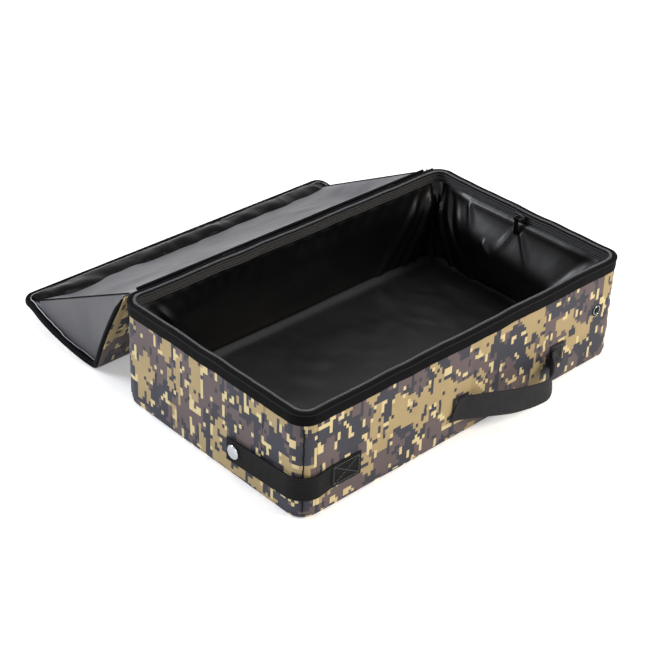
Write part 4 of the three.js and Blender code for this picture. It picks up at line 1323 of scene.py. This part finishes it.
def slack_point(x_share, t):
    """The lid's slack lining: it leaps the fold from the hinge to near the free edge, and turns down to
    the panels at both ends."""
    first, last = SLACK_START, LID_LENGTH - LID_CORNER_RADIUS
    half = LID_HALF_LENGTH - 0.0078
    lean = 0.004  # how far each end slopes in, from the panels up to the crease
    s = first + (last - first) * t
    low = lid_path(s, SLACK_LOW)
    at_hinge = lid_path(first, SLACK_LOW)
    at_free_edge = lid_path(last, SLACK_LOW)
    chord = at_hinge.lerp(at_free_edge, t)
    edge = min(x_share, 1 - x_share)
    lift = min(1.0, edge / SLACK_END)
    down = (at_free_edge - at_hinge).cross(Vector((1, 0, 0))).normalized()
    if down.z > 0:
        down = -down
    x = (2 * x_share - 1) * half
    if edge < SLACK_END:
        x = math.copysign(half - lean * lift + 0.8 * side_bow(s) * (1 - lift), x)
    else:
        x = math.copysign((half - lean) * (1 - (edge - SLACK_END) / (0.5 - SLACK_END)), x)
    bow = math.sin(math.pi * t)
    sag = bow * (0.010 + 0.004 * noise.noise(Vector((x * 8, t * 3, 1.1))))
    wrinkle = bow * (0.0022 * noise.noise(Vector((x * 22, t * 5, 7.7)))
                     + 0.0010 * noise.noise(Vector((x * 60, t * 14, 2.7))))
    slack = smooth_step((edge - SLACK_END) / 0.08)
    top = chord + down * (sag * slack + wrinkle * smooth_step((edge - SLACK_END) / 0.03))
    at = low.lerp(top, lift)
    ruffle = 0.0012 * noise.noise(Vector((t * 9, lift * 2.5, x))) * (1 - abs(2 * lift - 1)) * bow
    return Vector((x + math.copysign(ruffle, x), at.y, at.z))


def slack_part(name, first, last, tuck=0.0):
    """A part of the slack lining, from first to last along it. Its start is tucked under the part
    before."""
    rows = max(14, round((last - first) * 66))
    ends, middle = 14, 96  # columns in each sloping end and between them

    def share(s):
        column = s * (2 * ends + middle)
        if column <= ends:
            return SLACK_END * column / ends
        if column >= ends + middle:
            return 1 - SLACK_END * (2 * ends + middle - column) / ends
        return SLACK_END + (1 - 2 * SLACK_END) * (column - ends) / middle

    def place(s, t):
        along = first + (last - first) * t
        at = slack_point(share(s), along)
        if along - first < tuck:
            sink = 0.0012 * (1 - smooth_step((along - first) / tuck))
            at -= (INNER_OUT + OUTER_OUT).normalized() * sink
            at.x -= math.copysign(sink, at.x)
        return at

    def flat(s, t):
        return share(s) * 0.42, (first + (last - first) * t) * SLACK_LENGTH

    # the grey lid lining colour is painted sheen on the black film
    return finish_piece(name, bent_sheet(2 * ends + middle, rows, place, flat), "lid_lining",
                        LID_LINING_THICKNESS)


def crease_shadow_cord(name, share, starts):
    """A thin black cord along the pinched fold at a sloping end of the slack lining: painted shadow of the
    fold, in the binding's black. starts holds its points' places along the lining."""
    line = [slack_point(share, start) + Vector((0, 0, 0.0003)) for start in starts]
    # painted shadow: a black cord stands for the dark line of shade in the crease
    crease = tube_along(name, line, CREASE_SHADOW_RADIUS, "binding", 6)
    return crease


def lid_layers():
    """The printed cloth over the lid and its backing, each in an upper and a lower piece."""
    hinge_gap = 0.0015
    cloth = {"low": -0.0002, "thick": 0.0018, "material": "camo", "inset": 0.002, "seed": 1.7,
             "slot_name": "cased_board"}
    upper = lid_sheet("lid_cloth_upper", hinge_gap, LAYER_JOIN + LAYER_LAP, **cloth)
    bend_at_strip(upper)
    lower = lid_sheet("lid_cloth_lower", LAYER_JOIN - LAYER_LAP, LID_LENGTH - 0.002, **cloth)
    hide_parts("lid_hinge_strip", "lid_inner_panel")
    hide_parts("lid_outer_panel", "lid_fold_cord")
    bend_at_fold(lower)
    backing = {"low": 0.0012, "thick": 0.0012, "material": "lining", "inset": 0.0025, "seed": 4.4,
               "slot_name": "liner_film"}
    inside_upper = lid_sheet("lid_backing_upper", hinge_gap, LAYER_JOIN + LAYER_LAP, **backing)
    bend_at_strip(inside_upper)
    inside_lower = lid_sheet("lid_backing_lower", LAYER_JOIN - LAYER_LAP, LID_LENGTH - 0.003, **backing)
    bend_at_fold(inside_lower)


def lid_edges():
    """The bindings and zip coil round the lid, and the piping along its hinge."""
    for side, side_name in ((-1, "left"), (1, "right")):
        track = side_track(side, 0.006, LAYER_JOIN)
        band = edge_binding(f"lid_binding_{side_name}", track, taper=0.02)
        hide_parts(f"lid_inner_binding_{side_name}")
        bend_at_strip(band)
        coil = coil_line(f"lid_coil_{side_name}", track)
        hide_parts(f"lid_inner_zip_{side_name}")
        bend_at_strip(coil)
    around = free_track()
    band = edge_binding("lid_binding_free_edge", around)
    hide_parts("lid_outer_binding")
    bend_at_fold(band)
    coil = coil_line("lid_coil_free_edge", around)
    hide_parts("lid_outer_zip")
    bend_at_fold(coil)

    low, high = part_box("lid_hinge_cord")
    middle = (low + high) / 2
    hem = [Vector((low.x + (high.x - low.x) * i / 60, middle.y, middle.z)) for i in range(61)]
    cord = tube_along("lid_hinge_piping", hem, (high.z - low.z) / 2, "binding", 10)
    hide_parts("lid_hinge_cord")
    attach(cord, "lid_strip")


def lid_slack_lining():
    """The slack lining in two parts, with a black cord along the pinched fold at each of its ends as the
    fold's painted shadow.
    """
    wedge = slack_part("lid_lining_at_hinge", 0.0, SLACK_SPLIT)
    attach(wedge, "lid_strip")
    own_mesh(wedge)
    main = slack_part("lid_lining_cloth", SLACK_SPLIT - SLACK_LAP, 1.0, tuck=SLACK_LAP)
    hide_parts("lid_lining")
    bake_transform(main)

    for side, share in (("left", SLACK_END), ("right", 1 - SLACK_END)):
        crease = crease_shadow_cord(f"lid_lining_crease_shadow_{side}", share,
                             [SLACK_SPLIT + (1 - SLACK_SPLIT) * i / 70 for i in range(71)])
        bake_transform(crease)
        crease = crease_shadow_cord(f"lid_lining_crease_shadow_{side}_at_hinge", share,
                             [SLACK_SPLIT * (0.12 + 0.88 * i / 16) for i in range(17)])
        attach(crease, "lid_strip")
        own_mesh(crease)


def lid_hem():
    """The lining's glossy hem, which curls over along the free edge."""
    def place(s, t):
        x = (2 * s - 1) * (LID_HALF_LENGTH - 0.0095)
        rise = math.sin(math.pi * t) ** 0.8
        taper = smooth_step(min(s, 1 - s) / 0.04)
        wave = noise.noise(Vector((x * 15, 0.2, 5))) + 0.6 * noise.noise(Vector((x * 44, t * 1.6, 9)))
        wide = 0.034 + 0.010 * noise.noise(Vector((x * 10, 3.3, 1)))
        height = 0.0040 + rise * taper * (0.0058 + 0.0036 * wave)
        along = LID_LENGTH - 0.0045 - wide * (1 - t) + 0.0016 * wave * rise
        at = lid_path(along, height + 0.0035 * (1 - t) ** 2)
        return Vector((x, at.y, at.z))

    shape = bent_sheet(190, 18, place, lambda s, t: (s * 0.41, t * 0.03))
    curl = finish_piece("lid_lining_hem", shape, "edge_band", LID_LINING_THICKNESS)
    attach(curl, "lid_outer")


class LITTERBOX_OT_lid(bpy.types.Operator):
    """Build the two-panel lid with its bindings, coil and slack lining"""
    bl_idname = "litter_box.lid"
    bl_label = "Lid"

    def execute(self, context):
        lid_layers()
        lid_edges()
        lid_slack_lining()
        lid_hem()
        return {"FINISHED"}


# ---- stage

def background_rays(tree):
    """1 for rays from the camera and from shiny or clear surfaces, which all see the white background."""
    path = node(tree, "ShaderNodeLightPath").outputs
    glossy = node(tree, "ShaderNodeMath", links={0: path["Is Camera Ray"], 1: path["Is Glossy Ray"]},
                  operation="MAXIMUM").outputs[0]
    return node(tree, "ShaderNodeMath", links={0: glossy, 1: path["Is Transmission Ray"]},
                operation="MAXIMUM").outputs[0]


class LITTERBOX_OT_stage(bpy.types.Operator):
    """Set the floor, lamps, world and camera"""
    bl_idname = "litter_box.stage"
    bl_label = "Stage"

    def execute(self, context):
        look = context.scene.litter_box_stage
        flat = bmesh.new()
        bmesh.ops.create_grid(flat, x_segments=2, y_segments=2, size=6)
        mesh = bpy.data.meshes.new("floor")
        flat.to_mesh(mesh)
        flat.free()
        floor = bpy.data.objects.new("floor", mesh)
        floor.location.z = -0.0002
        context.collection.objects.link(floor)
        material, tree, shader = new_material("pale_floor", look.floor, 0.9, Specular_IOR_Level=0.1,
                                              Emission_Color=(1, 1, 1, 1))
        # past the lamps' reach the floor fades to the background's white
        place = node(tree, "ShaderNodeTexCoord").outputs["Object"]
        away = node(tree, "ShaderNodeVectorMath", links={0: place}, operation="LENGTH").outputs["Value"]
        fade = node(tree, "ShaderNodeMapRange",
                    {"From Min": 1.2, "From Max": 3.2, "To Min": 0.30, "To Max": 1.0},
                    {"Value": away}).outputs[0]
        glow = node(tree, "ShaderNodeMath", links={0: fade, 1: background_rays(tree)},
                    operation="MULTIPLY").outputs[0]
        link_shader(tree, shader, Emission_Strength=glow)
        mesh.materials.append(material)

        def lamp(name, place, aim, size, power, tint="#ffffff"):
            """A soft square lamp at a place, aimed at another, with its size in metres and its power
            in watts."""
            light = bpy.data.lights.new(name, "AREA")
            light.shape = "RECTANGLE"
            light.size, light.size_y = size
            light.energy = power
            light.color = srgb(tint)
            holder = bpy.data.objects.new(name, light)
            holder.location = place
            holder.rotation_euler = (Vector(aim) - Vector(place)).to_track_quat("-Z", "Y").to_euler()
            context.collection.objects.link(holder)

        lamp("key", (0.9, -1.5, 1.2), (0, 0, 0.05), (0.9, 0.8), 36, "#fff6ea")
        lamp("top", (0.2, 0.3, 2.2), (0, 0.05, 0), (1.6, 1.2), 22)
        lamp("far_left", (-1.2, 1.7, 1.15), (0.1, 0.05, 0.08), (1.1, 0.5), 40, "#f4f7ff")
        lamp("near_side", (-2.0, -0.7, 0.9), (0, 0, 0.05), (0.9, 0.9), 7)

        world = bpy.data.worlds.new("room") if context.scene.world is None else context.scene.world
        context.scene.world = world
        world.use_nodes = True
        tree = world.node_tree
        tree.nodes.clear()
        plain = node(tree, "ShaderNodeBackground", {"Color": (1, 1, 1, 1), "Strength": 0.34})
        white = node(tree, "ShaderNodeBackground", {"Color": (1, 1, 1, 1), "Strength": 1.0})
        both = node(tree, "ShaderNodeMixShader",
                    links={0: background_rays(tree), 1: plain.outputs[0], 2: white.outputs[0]})
        node(tree, "ShaderNodeOutputWorld", links={"Surface": both.outputs[0]})

        lens = bpy.data.cameras.new("camera")
        lens.sensor_width = 36
        lens.lens = look.lens
        camera = bpy.data.objects.new("camera", lens)
        forward = Vector(CAMERA_LOOK).normalized()
        right = Vector(CAMERA_RIGHT)
        right = (right - forward * right.dot(forward)).normalized()
        up = right.cross(forward)
        turn = Matrix((right, up, -forward)).transposed().to_4x4()
        camera.matrix_world = Matrix.Translation(CAMERA_PLACE) @ turn
        context.collection.objects.link(camera)
        context.scene.camera = camera
        context.scene.view_settings.view_transform = "Standard"
        return {"FINISHED"}


class LITTERBOX_PT_panel(bpy.types.Panel):
    """Buttons and sizes for the litter box"""
    bl_label = "Litter box"
    bl_idname = "LITTERBOX_PT_panel"
    bl_space_type = "VIEW_3D"
    bl_region_type = "UI"
    bl_category = "Litter box"

    def draw(self, context):
        layout = self.layout
        for group in (context.scene.litter_box_cloth, context.scene.litter_box_trim,
                      context.scene.litter_box_lining, context.scene.litter_box_stage):
            box = layout.box()
            for key in group.__annotations__:
                box.prop(group, key)
        for operator in OPERATORS:
            layout.operator(operator.bl_idname)


SETTINGS = {
    "litter_box_cloth": ClothSettings,
    "litter_box_trim": TrimSettings,
    "litter_box_lining": LiningSettings,
    "litter_box_stage": StageSettings,
}
OPERATORS = (LITTERBOX_OT_base, LITTERBOX_OT_walls, LITTERBOX_OT_rim, LITTERBOX_OT_lining,
             LITTERBOX_OT_lid, LITTERBOX_OT_webbing, LITTERBOX_OT_stage)


def register():
    """Registers the settings, operators and panel."""
    for cls in (*SETTINGS.values(), *OPERATORS, LITTERBOX_PT_panel):
        bpy.utils.register_class(cls)
    for name, cls in SETTINGS.items():
        setattr(bpy.types.Scene, name, bpy.props.PointerProperty(type=cls))


def unregister():
    """Takes the settings, operators and panel away again."""
    for name in SETTINGS:
        delattr(bpy.types.Scene, name)
    for cls in reversed((*SETTINGS.values(), *OPERATORS, LITTERBOX_PT_panel)):
        bpy.utils.unregister_class(cls)


def main():
    """Builds the litter box."""
    register()
    bpy.ops.litter_box.base()
    bpy.ops.litter_box.walls()
    bpy.ops.litter_box.rim()
    bpy.ops.litter_box.lining()
    bpy.ops.litter_box.lid()
    bpy.ops.litter_box.webbing()
    bpy.ops.litter_box.stage()
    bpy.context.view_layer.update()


if __name__ == "__main__":
    main()
